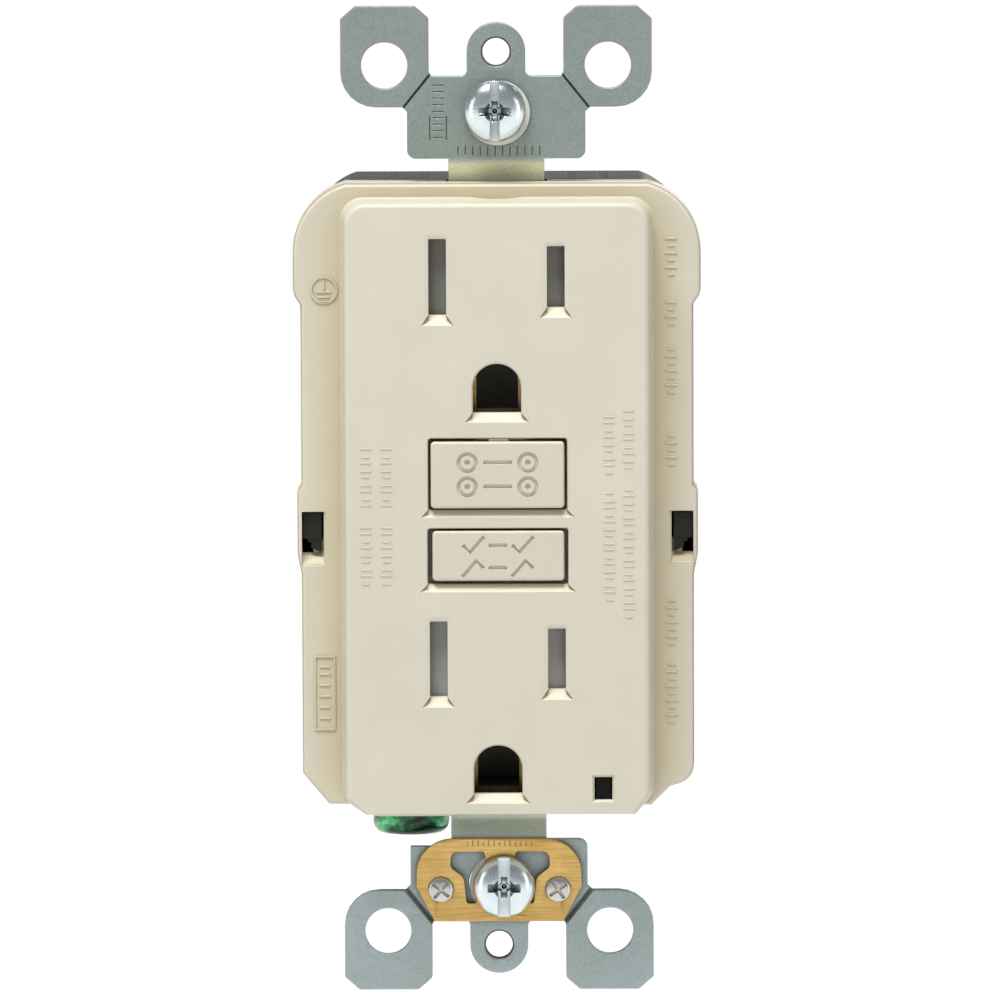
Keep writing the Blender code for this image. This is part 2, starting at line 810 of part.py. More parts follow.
def make_ground_contacts(shop):
    for name, outlet_z in OUTLETS.items():
        centre_z = outlet_z - GROUND_DROP
        window = box_outline(-2.25, centre_z - 2.9, 2.25, centre_z + 2.3)
        rivet_z = outlet_z - RIVET_DROP
        base = extrusion(
            [
                box_outline(-3.8, centre_z - 3.5, 3.8, rivet_z + 1.7, 0.6, 2),
                window,
                circle(0, rivet_z, 0.85, 12),
            ],
            "Y",
            -1.05,
            -0.5,
        )
        shop.piece(base, f"{name}_ground_contact", "brass")
        for side in (-1, 1):
            low, high = sorted((side * 2.3, side * 2.8))
            leaf = block((low, -0.8, centre_z - 2.4), (high, 7.4, centre_z + 2.2))
            shop.join(base, leaf)
        rivet = turned(
            [(0, 2.6), (1.2, 2.6), (1.4, 2.3), (0.75, 2.3), (0.75, 0.2), (0, 0.2)],
            (0, 0, rivet_z),
            (0, -1, 0),
            12,
        )
        shop.piece(rivet, f"{name}_ground_rivet", "brass", 40)


def blade_clip(side, outlet_z, height):
    """Two leaves joined at the back, gripping a plug's blade."""
    near, gap_near, gap_far, far = (side * value for value in (5.2, 5.7, 7.0, 7.5))
    outline = [
        (near, -0.9),
        (gap_near, -0.9),
        (gap_near, 7.4),
        (gap_far, 7.4),
        (gap_far, -0.9),
        (far, -0.9),
        (far, 7.9),
        (near, 7.9),
    ]
    if side < 0:
        outline.reverse()
    return extrusion([outline], "Z", outlet_z - height / 2, outlet_z + height / 2)


def side_block(side, near_x, far_x, low_yz, high_yz):
    """A box mirrored to one side of the middle."""
    low, high = sorted((side * near_x, side * far_x))
    return block((low, *low_yz), (high, *high_yz))


def make_contact_bars(shop):
    for name, side, height in (("hot", 1, 6.2), ("neutral", -1, 7.6)):
        bar = side_block(side, 7.0, 7.5, (4.0, -20.0), (7.9, 28.2))
        shop.piece(bar, f"{name}_contact_bar", "brass")
        for outlet_z in OUTLETS.values():
            shop.join(bar, blade_clip(side, outlet_z, height))
        shop.join(
            bar,
            side_block(side, 7.0, 7.5, (7.0, 1.6), (10.5, 5.5)),
            side_block(side, 7.2, 11.9, (10.0, 1.6), (10.5, 5.5)),
            side_block(side, 7.2, 14.2, (7.4, 14.0), (7.9, 18.0)),
        )


def make_shutters(shop):
    for name, outlet_z in OUTLETS.items():
        for kind, side in (("hot", 1), ("neutral", -1)):
            shutter = side_block(side, 4.0, 7.9, (-6.15, outlet_z - 4.6), (-4.6, outlet_z + 4.6))
            shop.piece(shutter, f"{name}_{kind}_shutter", "grey")
            middle = side * (BLADE_X + 1.0)
            ramp_outline = [(middle - 0.9, -6.7), (middle + 0.9, -6.7), (middle, -5.6)]
            ramp = extrusion([ramp_outline], "Z", outlet_z - 2.6, outlet_z + 2.6)
            shop.cut(shutter, ramp)
            hung_on(f"{name}_{kind}_shutter_slide", (side * BLADE_X, -5.4, outlet_z), shutter)
        spring = coil_spring((-3.9, -5.4, outlet_z), (3.9, -5.4, outlet_z), 0.55, 0.12, 6, 6)
        shop.piece(spring, f"{name}_shutter_spring", "steel", 60)
        tray = extrusion(
            [box_outline(-10.9, outlet_z - 5.2, 10.9, outlet_z + 5.2, 0.5, 2)]
            + [
                box_outline(
                    side * BLADE_X - 1.3, outlet_z - height / 2, side * BLADE_X + 1.3, outlet_z + height / 2
                )
                for side, height in ((-1, NEUTRAL_SLOT_HEIGHT), (1, HOT_SLOT_HEIGHT))
            ],
            "Y",
            -4.4,
            -3.6,
        )
        shop.piece(tray, f"{name}_shutter_tray", "white")


# ---------------------------------------------------------------- buttons and indicator


def button_block(opening, clearance, front, back):
    low_x, low_z, high_x, high_z = opening
    left, right, top, bottom = clearance
    outline = box_outline(low_x + left, low_z + bottom, high_x - right, high_z - top, 0.25, 2)
    return extrusion([outline], "Y", front, back)


def button_flange(opening, grow, front, back):
    low_x, low_z, high_x, high_z = opening
    return block((low_x - grow, front, low_z - grow), (high_x + grow, back, high_z + grow))


def make_reset(shop):
    button = button_block(RESET_OPENING, (0.14, 0.16, 0.2, 0.15), -8.3, -4.2)
    shop.piece(button, "reset_button", "almond")
    shop.join(button, button_flange(RESET_OPENING, 0.5, -5.1, -4.2))
    pin = rod((0, -4.1, RESET_AXIS_Z), (0, 17.5, RESET_AXIS_Z), 1.1)
    shop.piece(pin, "reset_pin", "bright", 40)
    hung_on("reset_button_press", (0, 0, RESET_AXIS_Z), button, pin)
    spring = coil_spring((0, -3.9, RESET_AXIS_Z), (0, 2.7, RESET_AXIS_Z), 1.9, 0.25, 5, 8)
    shop.piece(spring, "reset_spring", "steel", 60)


def make_test(shop):
    button = button_block(TEST_OPENING, (0.4, 0.3, 0.2, 0.35), -8.1, -4.2)
    shop.piece(button, "test_button", "almond")
    shop.join(
        button,
        button_flange(TEST_OPENING, 0.35, -6.1, -5.1),
        block((-1.0, -4.6, TEST_AXIS_Z - 0.9), (1.0, 5.9, TEST_AXIS_Z + 0.9)),
    )
    hung_on("test_button_press", (0, 0, TEST_AXIS_Z), button)
    strip = [
        (6.3, -4.2),
        (6.3, -17.0),
        (8.3, -17.0),
        (8.3, -16.6),
        (6.7, -16.6),
        (6.7, -4.2),
    ]
    arm = extrusion([strip], "X", -1.6, 1.6)
    shop.piece(arm, "test_spring_arm", "steel")
    hung_on("test_arm_flex", (0, 6.5, -16.4), arm)


def make_indicator(shop):
    half_width = WINDOW_HALF_WIDTH - 0.08
    half_height = WINDOW_HALF_HEIGHT - 0.08
    pipe = block(
        (WINDOW_X - half_width, -7.6, WINDOW_Z - half_height),
        (WINDOW_X + half_width, -6.1, WINDOW_Z + half_height),
    )
    shop.piece(pipe, "indicator_light_pipe", "smoke")
    shop.join(pipe, block((WINDOW_X - 0.8, -6.6, WINDOW_Z - 0.6), (WINDOW_X + 0.8, 7.6, WINDOW_Z + 1.1)))
    led_z = WINDOW_Z + 0.3
    led = rod((WINDOW_X, 7.9, led_z), (WINDOW_X, 11.2, led_z), 0.85, 16)
    shop.piece(led, "indicator_led", "led", 40)
    for offset in (-0.4, 0.4):
        shop.join(led, rod((WINDOW_X + offset, 11.0, led_z), (WINDOW_X + offset, 21.2, led_z), 0.2, 8))


# ---------------------------------------------------------------- trip mechanism


def make_carriage(shop):
    z = RESET_AXIS_Z
    carriage = block((-5.0, 11.9, -1.6), (5.0, 15.9, 8.0))
    shop.piece(carriage, "contact_carriage", "white")
    shop.join(carriage, block((-11.8, 11.9, 2.6), (11.8, 13.2, 4.6)))
    shop.cut(
        carriage,
        block((-3.3, LATCH_FRONT - GAP, -3.0), (3.3, LATCH_BACK + GAP, 9.0)),
        rod((0, 11, z), (0, 17, z), 1.35),
    )
    latch_outlines = [
        box_outline(-3.0, -2.4, 3.0, 10.2, 0.5, 2),
        box_outline(-1.3, z - 1.3, 1.3, z + 2.7, 0.6, 3),
    ]
    latch = extrusion(latch_outlines, "Y", LATCH_FRONT, LATCH_BACK)
    shop.piece(latch, "latch_plate", "steel")
    shop.join(latch, block((-3.0, LATCH_FRONT, 9.6), (3.0, 17.6, 10.2)))
    hung_on("contact_carriage_slide", (0, 13.9, z), carriage)
    hung_on("latch_slide", (0, 13.45, z), latch)
    for name, side in (("hot", 1), ("neutral", -1)):
        arm = side_block(side, 9.2, 12.0, (11.2, -13.0), (11.7, 5.6))
        shop.piece(arm, f"{name}_contact_arm", "brass")
        button = rod((side * 10.6, 10.8, 3.5), (side * 10.6, 11.5, 3.5), 1.3, 16)
        shop.join(arm, button)
        hung_on(f"{name}_contact_arm_flex", (side * 10.6, 11.45, -12.4), arm)


def make_solenoid(shop):
    y = SOLENOID_Y
    bobbin_profile = [
        (4.9, 27.0),
        (4.9, 26.1),
        (2.7, 26.1),
        (2.7, 12.9),
        (4.9, 12.9),
        (4.9, 12.0),
        (1.85, 12.0),
        (1.85, 27.0),
    ]
    bobbin = turned(bobbin_profile, (0, y, 0), (0, 0, 1), 16)
    shop.piece(bobbin, "solenoid_bobbin", "white", 40)
    winding = turned([(4.6, 25.9), (4.6, 13.1), (2.9, 13.1), (2.9, 25.9)], (0, y, 0), (0, 0, 1), 16)
    shop.piece(winding, "solenoid_coil", "copper", 40)
    plunger_profile = [(0, 23.4), (1.6, 23.4), (1.6, 12.6), (1.1, 12.6), (1.1, 10.5), (0, 10.5)]
    plunger = turned(plunger_profile, (0, y, 0), (0, 0, 1), 16)
    shop.piece(plunger, "solenoid_plunger", "steel", 40)
    hung_on("solenoid_plunger_slide", (0, y, 18), plunger)
    spring = coil_spring((0, y, 23.7), (0, y, 26.9), 1.2, 0.15, 3, 6)
    shop.piece(spring, "plunger_spring", "steel", 60)
    channel = [
        (-6.2, 11.0),
        (5.2, 11.0),
        (5.2, 11.8),
        (-5.4, 11.8),
        (-5.4, 27.2),
        (5.2, 27.2),
        (5.2, 28.0),
        (-6.2, 28.0),
    ]
    frame = extrusion([channel], "Y", y - 4.6, y + 4.6)
    shop.piece(frame, "solenoid_frame", "zinc")
    shop.cut(frame, rod((0, y, 10), (0, y, 12.4), 2.0))


def make_sensor(shop):
    z = CORE_CENTRE_Z
    cup = [
        (8.0, -11.4),
        (8.0, -20.9),
        (2.4, -20.9),
        (2.4, -11.4),
        (3.2, -11.4),
        (3.2, -20.1),
        (7.2, -20.1),
        (7.2, -11.4),
    ]
    housing = turned(cup, (0, 0, z), (0, -1, 0))
    shop.piece(housing, "transformer_housing", "black", 40)
    for name, front, back in (("sense", 12.6, 16.0), ("neutral", 16.4, 19.8)):
        ring = [(6.8, -front), (6.8, -back), (3.6, -back), (3.6, -front)]
        core = turned(ring, (0, 0, z), (0, -1, 0))
        shop.piece(core, f"{name}_transformer_core", "ferrite", 40)


def make_circuit_board(shop):
    board = block((-12.8, BOARD_FRONT, -31.0), (12.8, BOARD_BACK, 32.6))
    shop.piece(board, "circuit_board", "board")
    disc = rod((9.3, 17.6, 24.5), (9.3, 21.1, 24.5), 3.3, 20)
    shop.piece(disc, "surge_disc", "blue", 40)
    capacitor = extrusion([box_outline(-12.4, 14.0, -7.0, 21.8, 0.8, 2)], "Y", 14.6, 21.1)
    shop.piece(capacitor, "filter_capacitor", "blue")


# ---------------------------------------------------------------- terminals


def make_terminals(shop):
    for name, (side, z) in TERMINALS.items():
        metal = "brass" if name.endswith("hot") else "nickel"
        plate = terminal_plate(side, z)
        shop.piece(plate, f"{name}_terminal_plate", metal)
        if name.startswith("line"):
            shop.join(plate, side_block(side, 12.6, 14.9, (11.2, z + 2.5), (11.7, z + 4.7)))
        shop.cut(plate, rod((side * 13, TERMINAL_Y, z), (side * 17, TERMINAL_Y, z), 1.8))
        clamp = side_block(side, 15.7, 16.7, (TERMINAL_Y - 4.3, z - 4.3), (TERMINAL_Y + 4.3, z + 4.3))
        shop.piece(clamp, f"{name}_clamp_plate", "zinc")
        shop.cut(clamp, rod((side * 15, TERMINAL_Y, z), (side * 17, TERMINAL_Y, z), 1.85))
        profile = screw_profile(3.8, 2.1, 1.7, 4.2)
        screw = turned(profile, (side * 16.9, TERMINAL_Y, z), (side, 0, 0), 14)
        shop.piece(screw, f"{name}_terminal_screw", metal, 40)
        shop.cut(screw, *head_recess((side * 19.0, TERMINAL_Y, z), (side, 0, 0), 4.6, 1.0))
        hung_on(f"{name}_screw_axis", (side * 17, TERMINAL_Y, z), clamp, screw)


def terminal_plate(side, z):
    low, high = sorted((side * 14.6, side * 15.4))
    outline = box_outline(TERMINAL_Y - 5.2, z - 5.1, TERMINAL_Y + 5.2, z + 5.1, 0.6, 2)
    return extrusion([outline], "X", low, high)


def main():
    clear_scene()
    shop = Shop()
    make_face_cover(shop)
    make_rear_housing(shop)
    make_mid_separator(shop)
    make_mounting_strap(shop)
    make_grounding_clip(shop)
    make_mounting_screws(shop)
    make_ground_screw(shop)
    make_ground_contacts(shop)
    make_contact_bars(shop)
    make_shutters(shop)
    make_reset(shop)
    make_test(shop)
    make_indicator(shop)
    make_carriage(shop)
    make_solenoid(shop)
    make_sensor(shop)
    make_circuit_board(shop)
    make_terminals(shop)


main()
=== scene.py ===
import math

import bmesh
import bpy
from mathutils import Matrix, Vector


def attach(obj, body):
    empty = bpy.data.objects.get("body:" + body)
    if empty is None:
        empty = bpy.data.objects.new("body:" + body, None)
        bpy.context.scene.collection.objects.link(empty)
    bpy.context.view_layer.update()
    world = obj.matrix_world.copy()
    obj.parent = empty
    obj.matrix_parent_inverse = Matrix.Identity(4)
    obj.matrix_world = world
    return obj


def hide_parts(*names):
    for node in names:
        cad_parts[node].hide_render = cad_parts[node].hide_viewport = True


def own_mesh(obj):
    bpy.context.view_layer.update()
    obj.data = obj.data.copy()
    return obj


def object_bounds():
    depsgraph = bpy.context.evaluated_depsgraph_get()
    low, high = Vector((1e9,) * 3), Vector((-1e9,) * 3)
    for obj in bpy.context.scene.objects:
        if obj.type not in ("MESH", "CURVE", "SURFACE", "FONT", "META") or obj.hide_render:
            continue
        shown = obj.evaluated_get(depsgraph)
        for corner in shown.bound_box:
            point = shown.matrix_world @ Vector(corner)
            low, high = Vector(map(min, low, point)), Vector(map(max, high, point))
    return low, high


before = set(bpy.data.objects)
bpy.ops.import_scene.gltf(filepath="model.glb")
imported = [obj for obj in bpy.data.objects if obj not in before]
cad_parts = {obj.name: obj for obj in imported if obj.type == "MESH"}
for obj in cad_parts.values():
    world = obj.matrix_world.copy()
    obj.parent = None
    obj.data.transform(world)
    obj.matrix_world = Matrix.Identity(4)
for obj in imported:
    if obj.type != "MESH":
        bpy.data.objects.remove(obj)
cad_low, cad_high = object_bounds()

# The looks of a duplex ground-fault outlet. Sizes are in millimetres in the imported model's frame:
# X to the right, Y into the wall, Z up, and MM turns them into metres.
MM = 0.001
WHITE = (1.0, 1.0, 1.0, 1.0)

# Levels along Y
FACE_FRONT = -8.0
SHELF_FRONT = -3.4
SKIRT_BACK = 3.5
HOUSING_FRONT = 3.8
HOUSING_BACK = 25.0
STRAP_FRONT = -1.0
RESET_FRONT = -8.3
TEST_FRONT = -8.1

# The strap's two steps, as the height where each starts and its length, and how deep they are
STRAP_STEPS = ((36.85, 2.2), (33.1, 2.0))
STRAP_STEP = 1.3

# Outlets: the middle of each pair of blade slots
OUTLETS = {"upper": 24.6, "lower": -16.55}
BLADE_X = 6.35
SLOT_WIDTH = 1.9
SLOTS = {"neutral": (-1, 8.2), "hot": (1, 6.6)}
GROUND_DROP = 11.9
GROUND_RADIUS = 2.6
RIVET_DROP = 6.9

RESET_AXIS_Z = 3.5
RESET_OPENING = (-7.4, -0.44, 7.5, 7.29)
TEST_OPENING = (-7.5, -8.48, 7.6, -2.4)
WINDOW = (11.3, -30.57)

TERMINALS = {
    "line_hot": (1, -16.0),
    "line_neutral": (-1, -16.0),
    "load_hot": (1, 16.0),
    "load_neutral": (-1, 16.0),
}
TERMINAL_Y = 12.0
MOUNTING_SCREWS = {"top": (-0.15, 42.1), "bottom": (0.55, -41.9)}
GROUND_SCREW = (-9.55, 4.6)
CLIP_RIVETS = {"left": -6.3, "right": 6.4}
CLIP_RIVET_Z = -42.3


# ---------------------------------------------------------------- camera, lights and floor


def make_camera():
    """A long lens a metre away, a little above and to the right of the face's normal."""
    data = bpy.data.cameras.new("camera")
    data.lens = 333.0
    data.sensor_width = 36.0
    data.clip_end = 30.0
    camera = bpy.data.objects.new("camera", data)
    bpy.context.scene.collection.objects.link(camera)
    azimuth = math.radians(0.3)
    elevation = math.radians(5.4)
    roll = math.radians(-0.22)
    distance = 1.0
    back = Vector(
        (
            math.sin(azimuth) * math.cos(elevation),
            -math.cos(azimuth) * math.cos(elevation),
            math.sin(elevation),
        )
    )
    aim = Vector((0.25, 0.0, -0.1)) * MM
    camera.rotation_mode = "QUATERNION"
    turn = (-back).to_track_quat("-Z", "Y").to_matrix() @ Matrix.Rotation(roll, 3, "Z")
    camera.rotation_quaternion = turn.to_quaternion()
    camera.location = aim + back * distance
    bpy.context.scene.camera = camera


def make_area_light(name, place, target, size, power, colour=(1.0, 1.0, 1.0)):
    data = bpy.data.lights.new(name, "AREA")
    data.shape = "RECTANGLE"
    data.size, data.size_y = size
    data.energy = power
    data.color = colour
    light = bpy.data.objects.new(name, data)
    bpy.context.scene.collection.objects.link(light)
    light.location = place
    light.rotation_euler = (Vector(target) - Vector(place)).to_track_quat("-Z", "Y").to_euler()


def make_studio():
    scene = bpy.context.scene
    scene.view_settings.view_transform = "Standard"
    world = bpy.data.worlds.new("studio")
    scene.world = world
    world.use_nodes = True
    nodes = world.node_tree.nodes
    links = world.node_tree.links
    background = nodes["Background"]
    coordinates = nodes.new("ShaderNodeTexCoord")
    split = nodes.new("ShaderNodeSeparateXYZ")
    ramp = nodes.new("ShaderNodeValToRGB")
    links.new(coordinates.outputs["Generated"], split.inputs[0])
    links.new(split.outputs["Z"], ramp.inputs["Fac"])
    links.new(ramp.outputs["Color"], background.inputs["Color"])
    ramp.color_ramp.elements[0].position = 0.0
    ramp.color_ramp.elements[0].color = (0.34, 0.35, 0.36, 1.0)
    ramp.color_ramp.elements[1].position = 0.75
    ramp.color_ramp.elements[1].color = (0.2, 0.21, 0.22, 1.0)
    background.inputs["Strength"].default_value = 1.0
    make_area_light("key", (-0.2, -0.45, 1.25), (0, 0, 0), (0.7, 0.5), 22.0)
    make_area_light("left_strip", (-1.0, -0.6, 0.1), (0, 0, 0), (0.25, 0.9), 1.4)
    make_area_light("right_strip", (1.0, -0.6, 0.1), (0, 0, 0), (0.25, 0.9), 1.4)
    make_area_light("back", (0.5, 1.1, 0.5), (0, 0, 0), (0.8, 0.6), 3.5)

    bm = bmesh.new()
    bmesh.ops.create_grid(bm, x_segments=8, y_segments=8, size=12.0)
    mesh = bpy.data.meshes.new("floor")
    bm.to_mesh(mesh)
    bm.free()
    floor = bpy.data.objects.new("floor", mesh)
    bpy.context.scene.collection.objects.link(floor)
    floor.location = (0, 0, cad_low.z - 0.12)
    material = bpy.data.materials.new("floor_paint")
    material.use_nodes = True
    shader = material.node_tree.nodes["Principled BSDF"]
    shader.inputs["Base Color"].default_value = (0.08, 0.08, 0.08, 1.0)
    shader.inputs["Roughness"].default_value = 0.9
    shader.inputs["Specular IOR Level"].default_value = 0.0
    shader.inputs["Emission Color"].default_value = WHITE
    shader.inputs["Emission Strength"].default_value = 0.99
    mesh.materials.append(material)


# ---------------------------------------------------------------- materials


class Nodes:
    """A short way to build a material's node tree around its Principled shader."""

    def __init__(self, name, roughness, metallic=0.0):
        self.material = bpy.data.materials.new(name)
        self.material.use_nodes = True
        self.tree = self.material.node_tree
        self.shader = self.tree.nodes["Principled BSDF"]
        self.shader.inputs["Roughness"].default_value = roughness
        self.shader.inputs["Metallic"].default_value = metallic
        self.place = self.tree.nodes.new("ShaderNodeTexCoord").outputs["Object"]

    def stretched(self, scale):
        mapping = self.tree.nodes.new("ShaderNodeMapping")
        mapping.inputs["Scale"].default_value = scale
        self.tree.links.new(self.place, mapping.inputs["Vector"])
        return mapping.outputs["Vector"]

    def noise(self, per_mm, detail=3.0, rough=0.55, stretch=None, warp=0.0):
        """Noise with that many features to a millimetre."""
        node = self.tree.nodes.new("ShaderNodeTexNoise")
        node.inputs["Scale"].default_value = per_mm / MM
        node.inputs["Detail"].default_value = detail
        node.inputs["Roughness"].default_value = rough
        node.inputs["Distortion"].default_value = warp
        source = self.stretched(stretch) if stretch else self.place
        self.tree.links.new(source, node.inputs["Vector"])
        return node.outputs["Fac"]

    def along(self, axis, low_mm, high_mm):
        """0 at the low level of that axis and 1 at the high one."""
        split = self.tree.nodes.new("ShaderNodeSeparateXYZ")
        node = self.tree.nodes.new("ShaderNodeMapRange")
        node.inputs["From Min"].default_value = low_mm * MM
        node.inputs["From Max"].default_value = high_mm * MM
        self.tree.links.new(self.place, split.inputs[0])
        self.tree.links.new(split.outputs[axis], node.inputs["Value"])
        return node.outputs["Result"]

    def cells(self, per_mm):
        node = self.tree.nodes.new("ShaderNodeTexVoronoi")
        node.inputs["Scale"].default_value = per_mm / MM
        self.tree.links.new(self.place, node.inputs["Vector"])
        return node.outputs

    def ramp(self, value, stops):
        """Colours, or greys, by value."""
        node = self.tree.nodes.new("ShaderNodeValToRGB")
        while len(node.color_ramp.elements) < len(stops):
            node.color_ramp.elements.new(0.5)
        for element, (position, colour) in zip(node.color_ramp.elements, stops):
            element.position = position
            colour = colour if isinstance(colour, tuple) else (colour,) * 3
            element.color = (*colour, 1.0)
        self.tree.links.new(value, node.inputs["Fac"])
        return node.outputs["Color"]

    def mix(self, share, first, second, blend="MIX"):
        node = self.tree.nodes.new("ShaderNodeMix")
        node.data_type = "RGBA"
        node.blend_type = blend
        for socket, value in ((0, share), (6, first), (7, second)):
            if hasattr(value, "is_linked"):
                self.tree.links.new(value, node.inputs[socket])
            elif socket == 0:
                node.inputs[0].default_value = value
            else:
                node.inputs[socket].default_value = (*value, 1.0)
        return node.outputs[2]

    def worn_edges(self, radius_mm):
        """Near 1 on edges that stand out and 0 on flat surface, from the Bevel node's bent normal."""
        bevel = self.tree.nodes.new("ShaderNodeBevel")
        bevel.samples = 4
        bevel.inputs["Radius"].default_value = radius_mm * MM
        geometry = self.tree.nodes.new("ShaderNodeNewGeometry")
        dot = self.tree.nodes.new("ShaderNodeVectorMath")
        dot.operation = "DOT_PRODUCT"
        self.tree.links.new(bevel.outputs["Normal"], dot.inputs[0])
        self.tree.links.new(geometry.outputs["Normal"], dot.inputs[1])
        return self.ramp(dot.outputs["Value"], [(0.75, 1.0), (0.97, 0.0)])

    def painted_crevice_shade(self, base, distance_mm, stops, share=1.0):
        """Painted shade: darkens and tints the base where other surfaces stand close around a point."""
        node = self.tree.nodes.new("ShaderNodeAmbientOcclusion")
        node.samples = 6
        node.inputs["Distance"].default_value = distance_mm * MM
        self.openness = node.outputs["AO"]
        return self.mix(share, base, self.ramp(self.openness, stops), "MULTIPLY")

    def frontal(self):
        """1 on surfaces that look along Y and 0 on those square to them."""
        split = self.tree.nodes.new("ShaderNodeSeparateXYZ")
        size = self.tree.nodes.new("ShaderNodeMath")
        size.operation = "ABSOLUTE"
        self.tree.links.new(self.place.node.outputs["Normal"], split.inputs[0])
        self.tree.links.new(split.outputs["Y"], size.inputs[0])
        return self.ramp(size.outputs[0], [(0.2, 0.0), (0.8, 1.0)])

    def shade_gap_gloss(self, gloss):
        """Painted shade on the gloss: takes the specular away where the last ambient occlusion found a gap.
        """
        node = self.tree.nodes.new("ShaderNodeMapRange")
        node.inputs["From Min"].default_value = 0.15
        node.inputs["From Max"].default_value = 0.5
        node.inputs["To Max"].default_value = gloss
        self.tree.links.new(self.openness, node.inputs["Value"])
        self.tree.links.new(node.outputs["Result"], self.shader.inputs["Specular IOR Level"])

    def bump(self, heights, edge_mm=0.0):
        """Stacks bumps (height socket, depth in mm) on a normal whose edges are rounded a little."""
        normal = None
        if edge_mm:
            bevel = self.tree.nodes.new("ShaderNodeBevel")
            bevel.samples = 4
            bevel.inputs["Radius"].default_value = edge_mm * MM
            normal = bevel.outputs["Normal"]
        for height, depth in heights:
            node = self.tree.nodes.new("ShaderNodeBump")
            node.inputs["Strength"].default_value = 1.0
            node.inputs["Distance"].default_value = depth * MM
            self.tree.links.new(height, node.inputs["Height"])
            if normal:
                self.tree.links.new(normal, node.inputs["Normal"])
            normal = node.outputs["Normal"]
        self.tree.links.new(normal, self.shader.inputs["Normal"])

    def colour(self, socket):
        self.tree.links.new(socket, self.shader.inputs["Base Color"])

    def roughness(self, value, low, high):
        node = self.tree.nodes.new("ShaderNodeMapRange")
        node.inputs["To Min"].default_value = low
        node.inputs["To Max"].default_value = high
        self.tree.links.new(value, node.inputs["Value"])
        self.tree.links.new(node.outputs["Result"], self.shader.inputs["Roughness"])


# Painted shade stops, by ambient occlusion: darkest where other surfaces stand closest, with a warm tint in
# the almond's corners
PAINTED_GAP_SHADE = [(0.05, (0.012, 0.007, 0.003)), (0.22, (0.42, 0.36, 0.27)), (0.4, (1.0, 1.0, 1.0))]
DEEP_SHADE = [(0.1, (0.03, 0.028, 0.026)), (0.45, (0.25, 0.24, 0.23)), (0.95, (1.0, 1.0, 1.0))]
PAINTED_WARM_CORNER_SHADE = [(0.2, (0.66, 0.57, 0.38)), (0.62, (0.88, 0.83, 0.67)), (0.98, (1.0, 1.0, 1.0))]
PAINTED_METAL_GAP_SHADE = [(0.1, (0.06, 0.055, 0.05)), (0.5, (0.62, 0.62, 0.6)), (0.85, (1.0, 1.0, 1.0))]


def moulded_plastic(name, colour, low, high, grain=0.006, contrast=0.04, edge=0.08, shade=(), gloss=0.5):
    """Moulded plastic: a fine eroded skin, faint flow mottling and softly rounded edges."""
    nodes = Nodes(name, (low + high) / 2)
    nodes.shader.inputs["Specular IOR Level"].default_value = gloss
    mottle = nodes.noise(0.12, 4.0, 0.6)
    skin = nodes.noise(6.0, 2.0)
    pits = nodes.noise(1.3, 5.0, 0.65)
    light = tuple(min(1.0, c * (1 + contrast)) for c in colour)
    dark = tuple(c * (1 - contrast) for c in colour)
    base = nodes.ramp(mottle, [(0.3, dark), (0.7, light)])
    # Painted shade: darker, tinted colour and less gloss near corners and gaps, by ambient occlusion; the
    # warm corner shade goes only on faces that look to the front, so those facing up stay clear as if lit
    # from above.
    for distance_mm, stops in shade:
        share = nodes.frontal() if stops is PAINTED_WARM_CORNER_SHADE else 1.0
        base = nodes.painted_crevice_shade(base, distance_mm, stops, share)
    if shade:
        nodes.shade_gap_gloss(gloss)
    nodes.colour(base)
    nodes.roughness(pits, low, high)
    nodes.bump([(skin, grain), (pits, grain * 0.8)], edge)
    return nodes.material


def housing_plastic():
    """Black moulded plastic whose skin turns to a dusty brown sheen where it is seen edge on."""
    black = (0.009, 0.0085, 0.008)
    material = moulded_plastic("housing_plastic", black, 0.42, 0.6, 0.012, 0.22, 0.12, gloss=0.3)
    shader = material.node_tree.nodes["Principled BSDF"]
    shader.inputs["Sheen Weight"].default_value = 0.16
    shader.inputs["Sheen Roughness"].default_value = 0.5
    shader.inputs["Sheen Tint"].default_value = (1.0, 0.93, 0.72, 1.0)
    shader.inputs["Specular Tint"].default_value = (1.0, 0.95, 0.8, 1.0)
    return material


def zinc_steel():
    """Dull zinc plate on rolled steel: fine spangled grain, a film of varied tint and rubbed edges."""
    nodes = Nodes("dull_zinc", 0.5, 0.8)
    grain = nodes.noise(5.5, 5.0, 0.7)
    cloud = nodes.noise(0.07, 4.0, 0.6)
    spangle = [(0.3, (0.36, 0.39, 0.385)), (0.5, (0.44, 0.475, 0.465)), (0.7, (0.54, 0.57, 0.56))]
    film = nodes.ramp(grain, spangle)
    tint = nodes.ramp(cloud, [(0.38, (0.88, 0.95, 0.91)), (0.62, (0.96, 1.0, 1.02))])
    base = nodes.mix(1.0, film, tint, "MULTIPLY")
    # Painted light along Z: a bright reflection of the cover on the strap's two steps round the cover's
    # ends, olive on the upper one, and painted shade making the strap darker towards its top.
    stops = [(0.13, (1.0, 1.02, 1.04)), (0.136, (1.5, 1.45, 1.4)), (0.165, (1.5, 1.45, 1.4))]
    stops += [(0.17, (0.95, 0.97, 0.97)), (0.83, (0.82, 0.83, 0.81)), (0.835, (1.9, 1.7, 1.3))]
    stops += [(0.862, (1.9, 1.7, 1.35)), (0.869, (0.75, 0.765, 0.735))]
    ends = nodes.ramp(nodes.along("Z", -50, 50), stops)
    base = nodes.mix(1.0, base, ends, "MULTIPLY")
    base = nodes.mix(nodes.worn_edges(0.12), base, (0.55, 0.58, 0.57))
    # Painted shade: darker where other parts stand close, as under the cover and round the clip.
    nodes.colour(nodes.painted_crevice_shade(base, 1.0, PAINTED_METAL_GAP_SHADE))
    nodes.roughness(grain, 0.46, 0.66)
    nodes.bump([(grain, 0.008)], 0.09)
    return nodes.material


